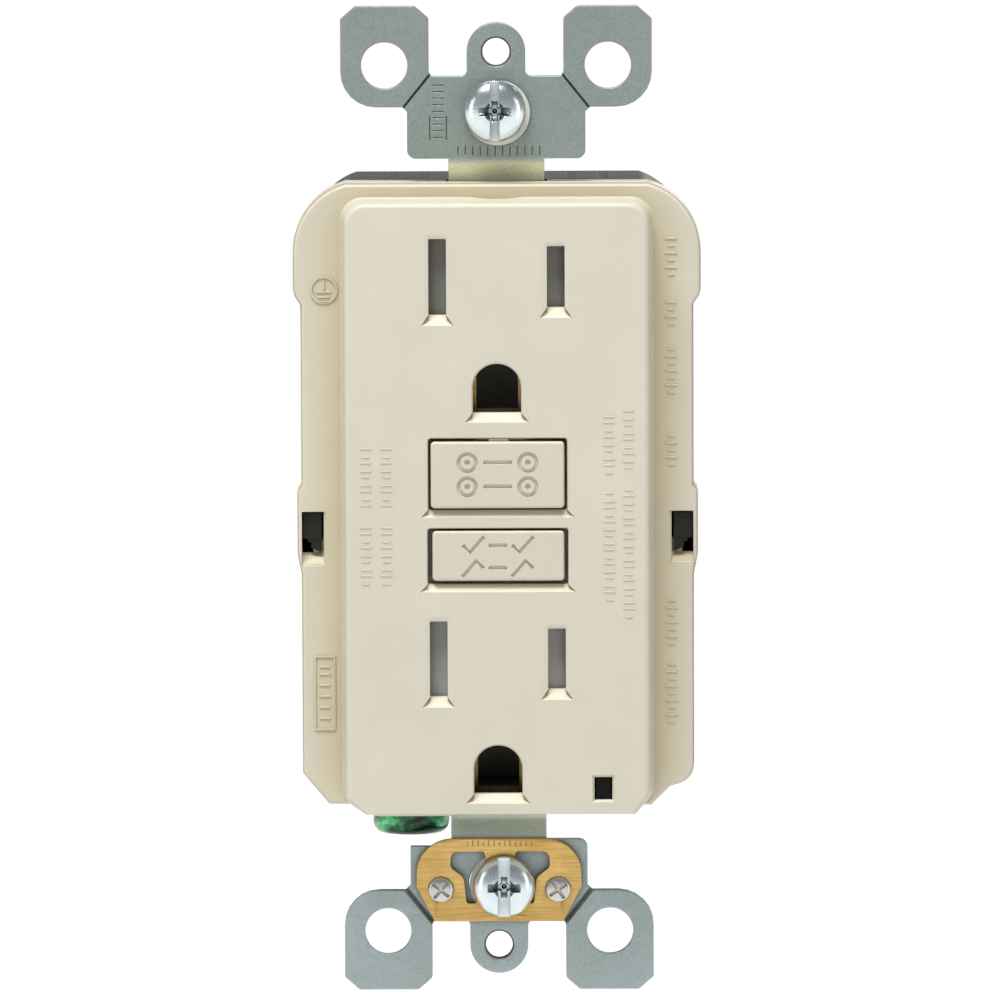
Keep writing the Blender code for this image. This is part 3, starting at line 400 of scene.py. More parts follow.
def bright_zinc(name, colour, low=0.16, high=0.34):
    """Bright zinc plate: shiny with faint tool marks, small pits and a cool cast."""
    nodes = Nodes(name, 0.25, 1.0)
    smear = nodes.noise(0.5, 4.0, 0.6)
    pits = nodes.noise(4.0, 4.0, 0.7)
    cool = tuple(c * t for c, t in zip(colour, (0.86, 0.95, 1.0)))
    base = nodes.ramp(smear, [(0.38, cool), (0.62, colour)])
    # Painted shade: darker where other parts stand close.
    nodes.colour(nodes.painted_crevice_shade(base, 1.2, PAINTED_METAL_GAP_SHADE))
    nodes.roughness(pits, low, high)
    nodes.bump([(pits, 0.005), (smear, 0.012)], 0.07)
    return nodes.material


def brushed_brass(name, colour, dull, stretch=(0.12, 1.0, 3.2), reach=0.8):
    """Rolled brass sheet: long fine brush lines, a warm tarnish and brighter edges."""
    nodes = Nodes(name, 0.34, 1.0)
    lines = nodes.noise(2.4, 6.0, 0.7, stretch=stretch)
    tarnish = nodes.noise(0.22, 5.0, 0.6)
    base = nodes.ramp(lines, [(0.3, dull), (0.52, colour), (0.75, tuple(min(1, c * 1.18) for c in colour))])
    spots = nodes.ramp(tarnish, [(0.36, (0.8, 0.72, 0.6)), (0.6, (1.0, 1.0, 1.0))])
    base = nodes.mix(0.7, base, spots, "MULTIPLY")
    base = nodes.mix(nodes.worn_edges(0.07), base, tuple(min(1, c * 1.25) for c in colour))
    # Painted light: the clip a little darker towards its bottom and lighter towards its top.
    painted_top_light = nodes.ramp(nodes.along("Z", -45.8, -37.2), [(0.1, 0.9), (0.95, 1.0)])
    base = nodes.mix(1.0, base, painted_top_light, "MULTIPLY")
    # Painted shade: darker in gaps, and over a longer reach for the brass inside the housing.
    nodes.colour(nodes.painted_crevice_shade(base, reach, PAINTED_METAL_GAP_SHADE if reach < 2 else DEEP_SHADE))
    nodes.roughness(lines, 0.26, 0.48)
    nodes.bump([(lines, 0.006)], 0.05)
    return nodes.material


def green_steel():
    """Green dyed zinc: crystalline patches from bright to near black under a glossy film."""
    nodes = Nodes("green_zinc", 0.25, 0.75)
    patches = nodes.noise(0.3, 6.0, 0.7, warp=1.4)
    flakes = nodes.cells(2.6)["Distance"]
    greens = [(0.4, (0.003, 0.012, 0.007)), (0.51, (0.008, 0.08, 0.03))]
    greens += [(0.6, (0.04, 0.3, 0.11)), (0.74, (0.26, 0.6, 0.36))]
    base = nodes.ramp(patches, greens)
    # Painted highlights: the head is lighter at its left and right and darker across its middle, like
    # reflections on its dome.
    sides = nodes.ramp(nodes.along("X", -13.7, -5.4), [(0.2, 1.25), (0.42, 0.45), (0.62, 0.4), (0.85, 1.1)])
    base = nodes.mix(1.0, base, sides, "MULTIPLY")
    sparkle = nodes.ramp(flakes, [(0.0, (1.15, 1.2, 1.15)), (0.6, (0.7, 0.8, 0.7))])
    nodes.colour(nodes.mix(0.7, base, sparkle, "MULTIPLY"))
    nodes.roughness(flakes, 0.16, 0.4)
    nodes.bump([(patches, 0.02), (flakes, 0.006)], 0.1)
    nodes.shader.inputs["Coat Weight"].default_value = 0.4
    nodes.shader.inputs["Coat Roughness"].default_value = 0.12
    return nodes.material


def enamelled_winding():
    """A layered copper winding: the turns show as fine rings along Z."""
    nodes = Nodes("enamelled_copper", 0.3, 0.8)
    wave = nodes.tree.nodes.new("ShaderNodeTexWave")
    wave.bands_direction = "Z"
    wave.inputs["Scale"].default_value = 1.1 / MM
    wave.inputs["Distortion"].default_value = 0.3
    nodes.tree.links.new(nodes.place, wave.inputs["Vector"])
    nodes.colour(nodes.ramp(wave.outputs["Fac"], [(0.2, (0.22, 0.05, 0.015)), (0.7, (0.72, 0.26, 0.08))]))
    nodes.bump([(wave.outputs["Fac"], 0.08)])
    nodes.shader.inputs["Coat Weight"].default_value = 0.5
    return nodes.material


def laminate_board():
    """Green solder resist with copper tracks under it and a woven laminate below."""
    nodes = Nodes("circuit_laminate", 0.3)
    tracks = nodes.cells(0.35)["Distance"]
    weave = nodes.noise(1.2, 2.0)
    resist = [(0.24, (0.03, 0.2, 0.06)), (0.27, (0.008, 0.09, 0.035)), (0.5, (0.01, 0.11, 0.04))]
    lines = nodes.ramp(tracks, resist)
    nodes.colour(nodes.mix(0.15, lines, nodes.ramp(weave, [(0.3, 0.02), (0.7, 0.2)])))
    nodes.bump([(tracks, 0.03), (weave, 0.004)], 0.05)
    nodes.shader.inputs["Coat Weight"].default_value = 0.3
    return nodes.material


def clear_smoked():
    nodes = Nodes("smoked_light_pipe", 0.12)
    cloud = nodes.noise(0.8, 3.0)
    nodes.colour(nodes.ramp(cloud, [(0.3, (0.001, 0.001, 0.001)), (0.7, (0.004, 0.004, 0.004))]))
    nodes.roughness(cloud, 0.2, 0.35)
    nodes.shader.inputs["Specular IOR Level"].default_value = 0.15
    nodes.bump([(cloud, 0.01)], 0.05)
    return nodes.material


# Moulded plastics: name, colour, roughness from and to, depth of grain, contrast, edge radius
PLASTICS = {
    "almond": ("almond_plastic", (0.628, 0.586, 0.474), 0.4, 0.52, 0.004, 0.03, 0.09),
    "button": ("almond_button", (0.62, 0.566, 0.455), 0.36, 0.46, 0.004, 0.02, 0.06),
    "grey": ("shutter_plastic", (0.21, 0.21, 0.195), 0.4, 0.55, 0.006, 0.06, 0.1),
    # Painted light: a lighter copy of the shutter grey, used for the lower outlet's shutters.
    "pale_grey": ("painted_lit_shutter_plastic", (0.37, 0.37, 0.36), 0.4, 0.55, 0.006, 0.06, 0.1),
    "white": ("natural_nylon", (0.62, 0.6, 0.54), 0.42, 0.55, 0.006, 0.04, 0.1),
    "bobbin": ("bobbin_plastic", (0.5, 0.48, 0.42), 0.4, 0.5, 0.006, 0.05, 0.1),
    "led": ("led_resin", (0.06, 0.4, 0.08), 0.1, 0.2, 0.002, 0.1, 0.05),
    "ferrite": ("ferrite", (0.03, 0.03, 0.033), 0.55, 0.8, 0.02, 0.25, 0.15),
    "blue": ("dipped_epoxy", (0.02, 0.07, 0.33), 0.18, 0.3, 0.004, 0.12, 0.3),
    "fibre": ("pressed_fibre", (0.7, 0.68, 0.62), 0.7, 0.9, 0.02, 0.08, 0.05),
}
# Painted shade: how some of them are darkened and tinted towards corners and gaps by ambient occlusion:
# distance in mm and stops
SHADES = {
    "almond": [(5.0, PAINTED_WARM_CORNER_SHADE), (0.6, PAINTED_GAP_SHADE)],
    "button": [(0.6, PAINTED_GAP_SHADE)],
    "white": [(5.0, DEEP_SHADE)],
}


def make_materials():
    made = {key: moulded_plastic(*look, shade=SHADES.get(key, ())) for key, look in PLASTICS.items()}
    made["black"] = housing_plastic()
    made["smoke"] = clear_smoked()
    made["zinc"] = zinc_steel()
    made["bright"] = bright_zinc("bright_zinc", (0.8, 0.84, 0.84))
    made["steel"] = bright_zinc("spring_steel", (0.55, 0.55, 0.54), 0.22, 0.36)
    made["nickel"] = bright_zinc("nickel_plate", (0.66, 0.64, 0.58), 0.2, 0.36)
    made["thread"] = bright_zinc("cut_thread", (0.12, 0.12, 0.12), 0.4, 0.6)
    made["clip"] = brushed_brass("brushed_brass", (0.83, 0.56, 0.205), (0.6, 0.38, 0.12))
    dull, lines = (0.42, 0.26, 0.09), (1.0, 1.0, 0.3)
    made["brass"] = brushed_brass("stamped_brass", (0.68, 0.47, 0.19), dull, lines, 5.0)
    made["green"] = green_steel()
    made["copper"] = enamelled_winding()
    made["board"] = laminate_board()
    return made


# ---------------------------------------------------------------- outlines


def arc(centre, radius, start, end, steps):
    """Points on an arc, from one angle to another in degrees."""
    points = []
    for step in range(steps + 1):
        angle = math.radians(start + (end - start) * step / steps)
        points.append((centre[0] + radius * math.cos(angle), centre[1] + radius * math.sin(angle)))
    return points


def circle(u, v, radius, sides=32):
    return arc((u, v), radius, 0, 360 * (sides - 1) / sides, sides - 1)


def rounded(corners, steps=6):
    """An outline from corners (u, v, radius), with an arc at each corner that has a radius."""
    points = []
    for index, (u, v, radius) in enumerate(corners):
        here = Vector((u, v))
        if radius == 0:
            points.append((u, v))
            continue
        before = (Vector(corners[index - 1][:2]) - here).normalized()
        after = (Vector(corners[(index + 1) % len(corners)][:2]) - here).normalized()
        half = before.angle(after) / 2
        centre = here + (before + after).normalized() * radius / math.sin(half)
        start = here + before * radius / math.tan(half) - centre
        end = here + after * radius / math.tan(half) - centre
        first = math.degrees(math.atan2(start.y, start.x))
        turn = math.degrees(math.atan2(end.y, end.x)) - first
        turn = (turn + 180) % 360 - 180
        points += arc(centre, radius, first, first + turn, steps)
    return points


def box_outline(low_u, low_v, high_u, high_v, radius=0.0, steps=5):
    corners = [(low_u, low_v), (high_u, low_v), (high_u, high_v), (low_u, high_v)]
    return rounded([(u, v, radius) for u, v in corners], steps)


def mirrored(points):
    return [(-u, v) for u, v in reversed(points)]


def flipped(points):
    return [(u, -v) for u, v in reversed(points)]


def area_of(points):
    total = 0.0
    for index, (u, v) in enumerate(points):
        next_u, next_v = points[(index + 1) % len(points)]
        total += u * next_v - next_u * v
    return total / 2


def grown(points, amount):
    """The outline with every side moved outwards."""
    sign = 1 if area_of(points) > 0 else -1
    moved = []
    for index, point in enumerate(points):
        here = Vector(point)
        before = (here - Vector(points[index - 1])).normalized()
        after = (Vector(points[(index + 1) % len(points)]) - here).normalized()
        first = Vector((before.y, -before.x)) * sign
        second = Vector((after.y, -after.x)) * sign
        out = first + second
        share = amount * 2 / max(out.length_squared, 0.5)
        moved.append(tuple(here + out * share))
    return moved


# ---------------------------------------------------------------- shapes


def link(obj):
    bpy.context.scene.collection.objects.link(obj)
    return obj


def mesh_object(bm, name="shape"):
    mesh = bpy.data.meshes.new(name)
    bmesh.ops.recalc_face_normals(bm, faces=bm.faces)
    bm.to_mesh(mesh)
    bm.free()
    return link(bpy.data.objects.new(name, mesh))


def bake_down(obj):
    """The object's evaluated mesh, in place of its modifiers."""
    graph = bpy.context.evaluated_depsgraph_get()
    mesh = bpy.data.meshes.new_from_object(obj.evaluated_get(graph))
    obj.modifiers.clear()
    obj.data = mesh
    return obj


def skin(rings):
    """A closed solid through rings of points; each ring has as many points as the others."""
    bm = bmesh.new()
    made = [[bm.verts.new(Vector(p) * MM) for p in ring] for ring in rings]
    count = len(rings[0])
    for first, second in zip(made, made[1:]):
        for index in range(count):
            after = (index + 1) % count
            bm.faces.new((first[index], first[after], second[after], second[index]))
    bm.faces.new(made[0][::-1])
    bm.faces.new(made[-1])
    return mesh_object(bm)


def slab(outline, levels, axis="Y"):
    """A solid whose cross-section is the outline, grown by an amount at each level: (level, grow)."""
    place = {
        "X": lambda level, u, v: (level, u, v),
        "Y": lambda level, u, v: (u, level, v),
        "Z": lambda level, u, v: (u, v, level),
    }[axis]
    return skin([[place(level, u, v) for u, v in grown(outline, grow)] for level, grow in levels])


def round_over(level, radius, towards, steps=4):
    """Levels and insets of a rounded edge that ends at level; towards is the way out, -1 or 1."""
    stops = []
    for step in range(steps + 1):
        angle = math.radians(90 * step / steps)
        stops.append((level - towards * radius * (1 - math.sin(angle)), -radius * (1 - math.cos(angle))))
    return stops


def block(low, high, radius=0.0):
    """A box between two corners, with rounded edges if a radius is given."""
    low, high = Vector(low), Vector(high)
    bm = bmesh.new()
    size = (high - low) * MM
    centre = Matrix.Translation((low + high) / 2 * MM)
    bmesh.ops.create_cube(bm, size=1.0, matrix=centre @ Matrix.Diagonal((*size, 1.0)))
    if radius:
        bmesh.ops.bevel(
            bm, geom=bm.edges[:], offset=radius * MM, segments=3, profile=0.5, affect="EDGES"
        )
    return mesh_object(bm)


def rod(start, end, radius, sides=32, end_radius=None):
    start, end = Vector(start), Vector(end)
    span = end - start
    turn = span.to_track_quat("Z", "Y").to_matrix().to_4x4()
    bm = bmesh.new()
    bmesh.ops.create_cone(
        bm,
        cap_ends=True,
        segments=sides,
        radius1=radius * MM,
        radius2=(radius if end_radius is None else end_radius) * MM,
        depth=span.length * MM,
        matrix=Matrix.Translation((start + end) / 2 * MM) @ turn,
    )
    return mesh_object(bm)


def plate(outlines, low, high, edge=0.0, steps=2):
    """A sheet between two levels of Y, with rounded edges round its outline and its holes."""
    curve = bpy.data.curves.new("plate", "CURVE")
    curve.dimensions = "2D"
    curve.fill_mode = "BOTH"
    curve.extrude = ((high - low) / 2 - edge) * MM
    curve.bevel_depth = edge * MM
    curve.bevel_resolution = steps
    curve.offset = -edge * MM
    for outline in outlines:
        spline = curve.splines.new("POLY")
        spline.points.add(len(outline) - 1)
        for point, (u, v) in zip(spline.points, outline):
            point.co = (u * MM, v * MM, 0.0, 1.0)
        spline.use_cyclic_u = True
    holder = link(bpy.data.objects.new("plate", curve))
    graph = bpy.context.evaluated_depsgraph_get()
    mesh = bpy.data.meshes.new_from_object(holder.evaluated_get(graph))
    bpy.data.objects.remove(holder, do_unlink=True)
    bm = bmesh.new()
    bm.from_mesh(mesh)
    middle = (low + high) / 2 * MM
    bm.transform(Matrix.Translation((0, middle, 0)) @ Matrix.Rotation(math.radians(90), 4, "X"))
    bmesh.ops.remove_doubles(bm, verts=bm.verts, dist=0.0000015)
    return mesh_object(bm)


def turned(profile, centre, axis, sides=48, wobble=None):
    """A turned solid. profile is (radius, height); wobble(angle, height) adds to a ring's radius."""
    turn = Vector(axis).to_track_quat("Z", "Y").to_matrix()
    rings = []
    for radius, height in profile:
        ring = []
        for index in range(sides):
            angle = 2 * math.pi * index / sides
            reach = max(radius, 0.01)
            if wobble:
                reach += wobble(angle, height)
            local = Vector((reach * math.cos(angle), reach * math.sin(angle), height))
            ring.append(Vector(centre) + turn @ local)
        rings.append(ring)
    return skin(rings)


def apply_boolean(obj, operation, tools):
    for tool in tools:
        modifier = obj.modifiers.new("join", "BOOLEAN")
        modifier.operation = operation
        modifier.solver = "EXACT"
        modifier.object = tool
    bake_down(obj)
    for tool in tools:
        bpy.data.objects.remove(tool, do_unlink=True)
    return obj


def cut(obj, *tools):
    return apply_boolean(obj, "DIFFERENCE", tools)


def join(obj, *tools):
    return apply_boolean(obj, "UNION", tools)


def gather(objects):
    """Several solids as one object."""
    bm = bmesh.new()
    for obj in objects:
        bm.from_mesh(obj.data)
        bpy.data.objects.remove(obj, do_unlink=True)
    return mesh_object(bm)


def smooth(obj, angle=35):
    """Round surfaces shade smooth, and large flat faces keep their own normal."""
    obj.data.shade_smooth()
    obj.data.set_sharp_from_angle(angle=math.radians(angle))
    modifier = obj.modifiers.new("weighted", "WEIGHTED_NORMAL")
    modifier.keep_sharp = True
    modifier.weight = 80
    return obj


def piece(obj, name, body, material, replaced=(), angle=35):
    """Names a finished shape and hands it to the frame."""
    obj.name = name
    obj.data.name = name
    obj.data.materials.clear()
    obj.data.materials.append(MATERIALS[material])
    smooth(obj, angle)
    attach(obj, body)
    for node in replaced:
        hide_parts(node)
    return obj


# ---------------------------------------------------------------- cover


def shoulder_outline(half, top, kink, radius, side_points):
    """The right half of a body outline, from its lowest point up round the shoulder to the top.

    The shoulder's arc leaves the side smoothly and meets the top edge at a slight corner, kink.
    """
    centre_u = half - radius
    rise = math.sqrt(radius**2 - (kink - centre_u) ** 2)
    last = math.degrees(math.atan2(rise, kink - centre_u))
    return side_points + arc((centre_u, top - rise), radius, 0, last, 12)


def cover_outline():
    """The cover's skirt: a bulge on each side over the latch, wider shoulders, unlike corners below."""
    latch_side = [(21.15, -7.9), (21.6, -5.6), (21.6, 1.2), (21.15, 1.75)]
    latch_side += [(21.15, 21.3), (21.75, 22.2), (21.95, 22.9)]
    right = shoulder_outline(
        21.95,
        34.4,
        16.3,
        7.7,
        [(16.5, -33.0), (18.5, -31.0), (19.3, -30.75)]
        + arc((18.9, -28.55), 2.25, -70, 0, 5)
        + latch_side,
    )
    left = shoulder_outline(
        21.95,
        34.4,
        16.3,
        7.7,
        [(18.3, -32.8), (21.15, -29.4)] + latch_side,
    )
    return right + mirrored(left)


def funnel(outline, mouth, depth, back):
    """A hole's cutter: straight to the back, with a chamfered mouth that opens to another outline."""
    front = FACE_FRONT
    beyond = 0.2
    share = 1 + beyond / depth
    over = [(u + (mu - u) * share, v + (mv - v) * share) for (u, v), (mu, mv) in zip(outline, mouth)]
    rings = [(outline, back), (outline, front + depth), (over, front - beyond)]
    return skin([[(u, level, v) for u, v in ring] for ring, level in rings])


def ramp_below(low_x, high_x, low_z, depth, drop, flare):
    """A cutter for the sloping sill below an opening, wider at the face than inside."""
    beyond = 0.2
    rings = []
    for level, share in ((FACE_FRONT + depth, 0.0), (FACE_FRONT - beyond, 1 + beyond / depth)):
        out, low = flare * share, low_z - drop * share
        corners = ((low_x - out, low), (high_x + out, low), (high_x, low_z + 0.04), (low_x, low_z + 0.04))
        rings.append([(x, level, z) for x, z in corners])
    return skin(rings)


def blade_slot(side, outlet_z, height):
    middle = side * BLADE_X
    low_x, high_x = middle - SLOT_WIDTH / 2, middle + SLOT_WIDTH / 2
    low_z, high_z = outlet_z - height / 2, outlet_z + height / 2
    hole = box_outline(low_x, low_z, high_x, high_z, 0.12, 2)
    return [funnel(hole, grown(hole, 0.6), 0.2, -5.5), ramp_below(low_x, high_x, low_z, 0.85, 1.1, 0.78)]


def ground_hole(outlet_z, grow=0.0):
    """The arched hole for a ground pin: round above, flat below."""
    centre_z = outlet_z - GROUND_DROP
    radius = GROUND_RADIUS + grow
    bottom = centre_z - 2.7
    return [(-radius, bottom), (radius, bottom)] + arc((0, centre_z), radius, 0, 180, 24)


def ground_slot(outlet_z):
    hole = ground_hole(outlet_z)
    low_z = min(v for _, v in hole)
    sill = ramp_below(-GROUND_RADIUS, GROUND_RADIUS, low_z, 0.8, 1.02, 0.84)
    return [funnel(hole, grown(hole, 0.16), 0.14, -5.5), sill]


def button_hole(opening):
    low_x, low_z, high_x, high_z = opening
    corners = [(low_x, low_z, 0.1), (high_x, low_z, 0.1), (high_x, high_z, 0.3), (low_x, high_z, 0.3)]
    hole = rounded(corners, 3)
    return [funnel(hole, grown(hole, 0.1), 0.1, -5.5), ramp_below(low_x, high_x, low_z, 0.6, 0.8, 0.8)]


def latch_window(side):
    """The cutters for the window beside the latch, and for its flared mouth."""
    ys_zs = [(-4.4, -1.0), (4.5, -1.0), (4.5, -4.05), (-2.0, -4.05)]
    ys_zs += [(-2.0, -5.5), (-3.4, -6.75), (-4.4, -6.75)]
    low, high = sorted((side * 18.75, side * 21.1))
    window = skin([[(x, y, z) for y, z in ys_zs] for x in (low, high)])
    rings = []
    for level, near, low_z in ((SHELF_FRONT - 0.25, 18.3, -7.0), (SHELF_FRONT + 0.3, 18.75, -6.7)):
        corners = ((near, low_z), (21.1, low_z), (21.1, -1.0), (near, -1.0))
        rings.append([(side * x, level, z) for x, z in corners])
    return [window, skin(rings)]


def make_cover():
    outline = cover_outline()
    front = round_over(SHELF_FRONT, 0.32, -1, 5)
    step = [(SHELF_FRONT + 0.95, 0.0), (SHELF_FRONT + 0.95, -0.14)]
    front = [(level, grow - 0.14) for level, grow in front]
    cover = slab(outline, [(SKIRT_BACK, -0.15), (SKIRT_BACK - 0.15, 0.0)] + step + front)

    face_corners = [
        (15.1, -33.3, 0.3),
        (16.7, -31.6, 1.6),
        (16.7, 32.8, 2.3),
        (-16.7, 32.8, 2.3),
        (-16.7, -32.0, 1.0),
        (-14.6, -33.3, 0.3),
    ]
    base = rounded(face_corners, 8)
    rings = []
    foot = [(0.5, 0.14), (0.0, 0.14), (-0.06, 0.05), (-0.2, 0.01)]
    foot = [(SHELF_FRONT + level, grow) for level, grow in foot]
    height = SHELF_FRONT - FACE_FRONT
    rise = [(SHELF_FRONT - 0.7, 0.0)] + round_over(FACE_FRONT, 0.55, -1, 6)
    for level, grow in foot + rise:
        share = max(0.0, (SHELF_FRONT - level) / height)
        ring = []
        for u, v in grown(base, grow):
            u *= 1 - 0.45 / 16.7 * share
            v = v - 0.3 * share if v > 0 else min(v, -33.3) if v < -32.5 else v
            ring.append((u, level, v))
        rings.append(ring)
    face = skin(rings)
    dip = rod((0, -4.5, 32.7 + 20.0), (0, -3.3, 32.7 + 20.0), 20.0, 256)
    cut(face, dip)
    join(cover, face)

    shelf_back = SHELF_FRONT + 1.0
    inner_front = FACE_FRONT + 1.6
    cavity = rounded(
        [
            (-19.9, 33.2, 6.6),
            (-19.9, -28.9, 0),
            (-17.6, -31.8, 0),
            (15.9, -31.8, 0),
            (17.7, -30.2, 0),
            (19.9, -29.0, 0),
            (19.9, 33.2, 6.6),
        ]
    )
    tools = [
        block((-15.2, inner_front, -31.8), (15.2, shelf_back + 0.5, 31.6)),
        slab(cavity, [(shelf_back, 0), (SKIRT_BACK + 1, 0)]),
        *button_hole(RESET_OPENING),
        *button_hole(TEST_OPENING),
    ]
    window = box_outline(WINDOW[0] - 0.96, WINDOW[1] - 1.23, WINDOW[0] + 0.96, WINDOW[1] + 1.23)
    tools.append(funnel(window, grown(window, 0.24), 0.24, -5.5))
    for outlet_z in OUTLETS.values():
        for side, height in SLOTS.values():
            tools += blade_slot(side, outlet_z, height)
        tools += ground_slot(outlet_z)
    for side in (-1, 1):
        tools += latch_window(side)
    for low_z, high_z in ((30, 36), (-36, -30)):
        tools.append(block((-5.45, 0.5, low_z), (5.45, SKIRT_BACK + 1, high_z)))
    x, y = GROUND_SCREW
    tools.append(rod((x, y, -36), (x, y, -29), 2.2))
    cut(cover, *tools)
    ramps = []
    for side in (-1, 1):
        low, high = sorted((side * 18.5, side * 21.2))
        ys_zs = [(-3.25, -7.1), (-3.25, -6.65), (-2.0, -5.5), (-2.0, -4.05), (0.4, -4.05), (0.4, -7.1)]
        ramps.append(skin([[(x, y, z) for y, z in ys_zs] for x in (low, high)]))
    join(cover, *ramps)
    piece(cover, "cover_shell", "housing", "almond", ["face_cover"], 24)


def raised_tick(u, v, width, height, level, rise):
    """A small moulded bar with sloping sides, its foot sunk a little into the surface."""
    foot = [(u - width / 2, v - height / 2), (u + width / 2, v - height / 2)]
    foot += [(u + width / 2, v + height / 2), (u - width / 2, v + height / 2)]
    return slab(foot, [(level + 0.1, 0.03), (level - rise, -0.035)])


def make_moulded_marks():
    """Plain raised marks where a real outlet carries its moulded rating and instructions."""
    marks = []
    # Two columns of fine bars beside each side of the buttons
    for x, low_z, high_z, gap_z in (
        (-14.1, -8.4, 6.3, -1.4),
        (-11.9, -8.4, 6.3, -1.4),
        (12.0, -10.2, 9.8, 2.6),
        (14.1, -12.0, 10.6, 3.0),
    ):
        z = low_z
        index = 0
        while z < high_z:
            if abs(z - gap_z) > 0.8:
                wide = 1.25 if index % 3 else 0.85
                marks.append(raised_tick(x, z, wide, 0.19, FACE_FRONT, 0.06))
            z += 0.62 if index % 2 else 0.9
            index += 1
    # Groups of bars down the right shelf
    groups = ((24.5, 28.6), (19.2, 22.1), (11.8, 16.6), (4.0, 7.4), (-15.4, -10.2), (-23.9, -17.2))
    for low_z, high_z in groups:
        z = low_z
        index = 0
        while z <= high_z:
            marks.append(raised_tick(18.75, z, 1.35 if index % 2 else 0.8, 0.24, SHELF_FRONT, 0.09))
            z += 0.78
            index += 1
    piece(gather(marks), "moulded_bars", "housing", "almond", (), 20)

    # An earth sign in a ring on the left shelf, and a plain framed panel with bars below it
    signs = []
    for step in range(3):
        signs.append(raised_tick(-18.6, 22.75 - 0.55 * step, 1.7 - 0.5 * step, 0.22, SHELF_FRONT, 0.12))
    signs.append(raised_tick(-18.6, 23.5, 0.22, 1.2, SHELF_FRONT, 0.12))
    low, high = SHELF_FRONT - 0.12, SHELF_FRONT + 0.1
    ring = plate([circle(-18.6, 22.95, 1.5, 40), circle(-18.6, 22.95, 1.28, 40)], low, high)
    frame_outer = box_outline(-19.85, -24.7, -17.55, -16.6, 0.2)
    frame_inner = box_outline(-19.65, -24.5, -17.75, -16.8, 0.1)
    panel = plate([frame_outer, frame_inner], low, high)
    signs += [ring, panel]
    for z in (-23.4, -22.2, -21.0, -19.8, -18.6, -17.8):
        signs.append(raised_tick(-18.7, z, 1.2, 0.22, SHELF_FRONT, 0.1))
    piece(gather(signs), "moulded_signs", "housing", "almond", (), 20)


# ---------------------------------------------------------------- buttons and window


def stroke(points, width):
    """A line of that width along points, as an outline."""
    half = width / 2
    left, right = [], []
    for index, point in enumerate(points):
        before = Vector(points[max(index - 1, 0)])
        after = Vector(points[min(index + 1, len(points) - 1)])
        along = (after - before).normalized()
        across = Vector((-along.y, along.x)) * half
        left.append(tuple(Vector(point) + across))
        right.append(tuple(Vector(point) - across))
    return right + left[::-1]


def turned_outline(points, centre, half_turns):
    if not half_turns:
        return points
    return [(2 * centre[0] - u, 2 * centre[1] - v) for u, v in points]


def engraving(outline, front, depth=0.22):
    """A cutter with sloping sides for a shallow engraved line."""
    points = outline if area_of(outline) > 0 else outline[::-1]
    return slab(points, [(front + depth, -0.05), (front - 0.1, 0.05)])


def target_mark(centre, front):
    """Cutters for an engraved ring with a dot in it."""
    u, v = centre
    ring = plate([circle(u, v, 1.12), circle(u, v, 0.74)], front - 0.1, front + 0.2)
    return [ring, engraving(circle(u, v, 0.3, 20), front)]


def check_mark(centre, turned_over):
    u, v = centre
    line = stroke([(u - 1.1, v + 0.05), (u - 0.35, v - 0.75), (u + 1.15, v + 0.95)], 0.38)
    return [turned_outline(line, centre, turned_over)]


def button_body(opening, clearance, front, edge):
    low_x, low_z, high_x, high_z = opening
    left, right, top, bottom = clearance
    outline = box_outline(low_x + left, low_z + bottom, high_x - right, high_z - top, 0.42, 5)
    return slab(outline, [(-4.2, 0.0)] + round_over(front, edge, -1, 4))


def make_buttons():
    reset = button_body(RESET_OPENING, (0.27, 0.3, 0.34, 0.22), RESET_FRONT, 0.3)
    low_x, low_z, high_x, high_z = RESET_OPENING
    flange = block((low_x - 0.5, -4.8, low_z - 0.5), (high_x + 0.5, -4.2, high_z + 0.5), 0.15)
    tab = block((-0.9, -7.75, high_z - 0.4), (1.25, -4.6, high_z - 0.03), 0.04)
    join(reset, flange, tab)
    middle = (low_z + high_z) / 2
    for row in (1.3, -1.3):
        for centre_x in (-3.2, 3.3):
            cut(reset, *target_mark((centre_x, middle + row), RESET_FRONT))
        bar = box_outline(-1.5, middle + row - 0.2, 1.6, middle + row + 0.2, 0.19)
        cut(reset, engraving(bar, RESET_FRONT))
    piece(reset, "reset_button_cap", "reset", "button", ["reset_button"])

    test = button_body(TEST_OPENING, (0.52, 0.42, 0.26, 0.42), TEST_FRONT, 0.3)
    low_x, low_z, high_x, high_z = TEST_OPENING
    flange = block((low_x - 0.35, -4.9, low_z - 0.35), (high_x + 0.35, -4.4, high_z + 0.35), 0.12)
    stem = block((-1.0, -4.6, -6.2), (1.0, 5.9, -4.4), 0.15)
    join(test, flange, stem)
    middle = (low_z + high_z) / 2
    for row, turned_over in ((1.2, False), (-1.2, True)):
        for centre_x in (-2.6, 2.7):
            for shape in check_mark((centre_x, middle + row), turned_over):
                cut(test, engraving(shape, TEST_FRONT))
        bar = box_outline(-0.95, middle + row - 0.2, 1.05, middle + row + 0.2, 0.19)
        cut(test, engraving(bar, TEST_FRONT))
    piece(test, "test_button_cap", "test", "button", ["test_button"])

    x, z = WINDOW
    outline = box_outline(x - 0.86, z - 1.13, x + 0.86, z + 1.13, 0.1, 3)
    lens = slab(outline, [(-6.1, 0.0)] + round_over(-7.35, 0.12, -1))
    join(lens, block((x - 0.8, -6.6, z - 0.6), (x + 0.8, 7.6, z + 1.1), 0.1))
    piece(lens, "indicator_lens", "housing", "smoke", ["indicator_light_pipe"])


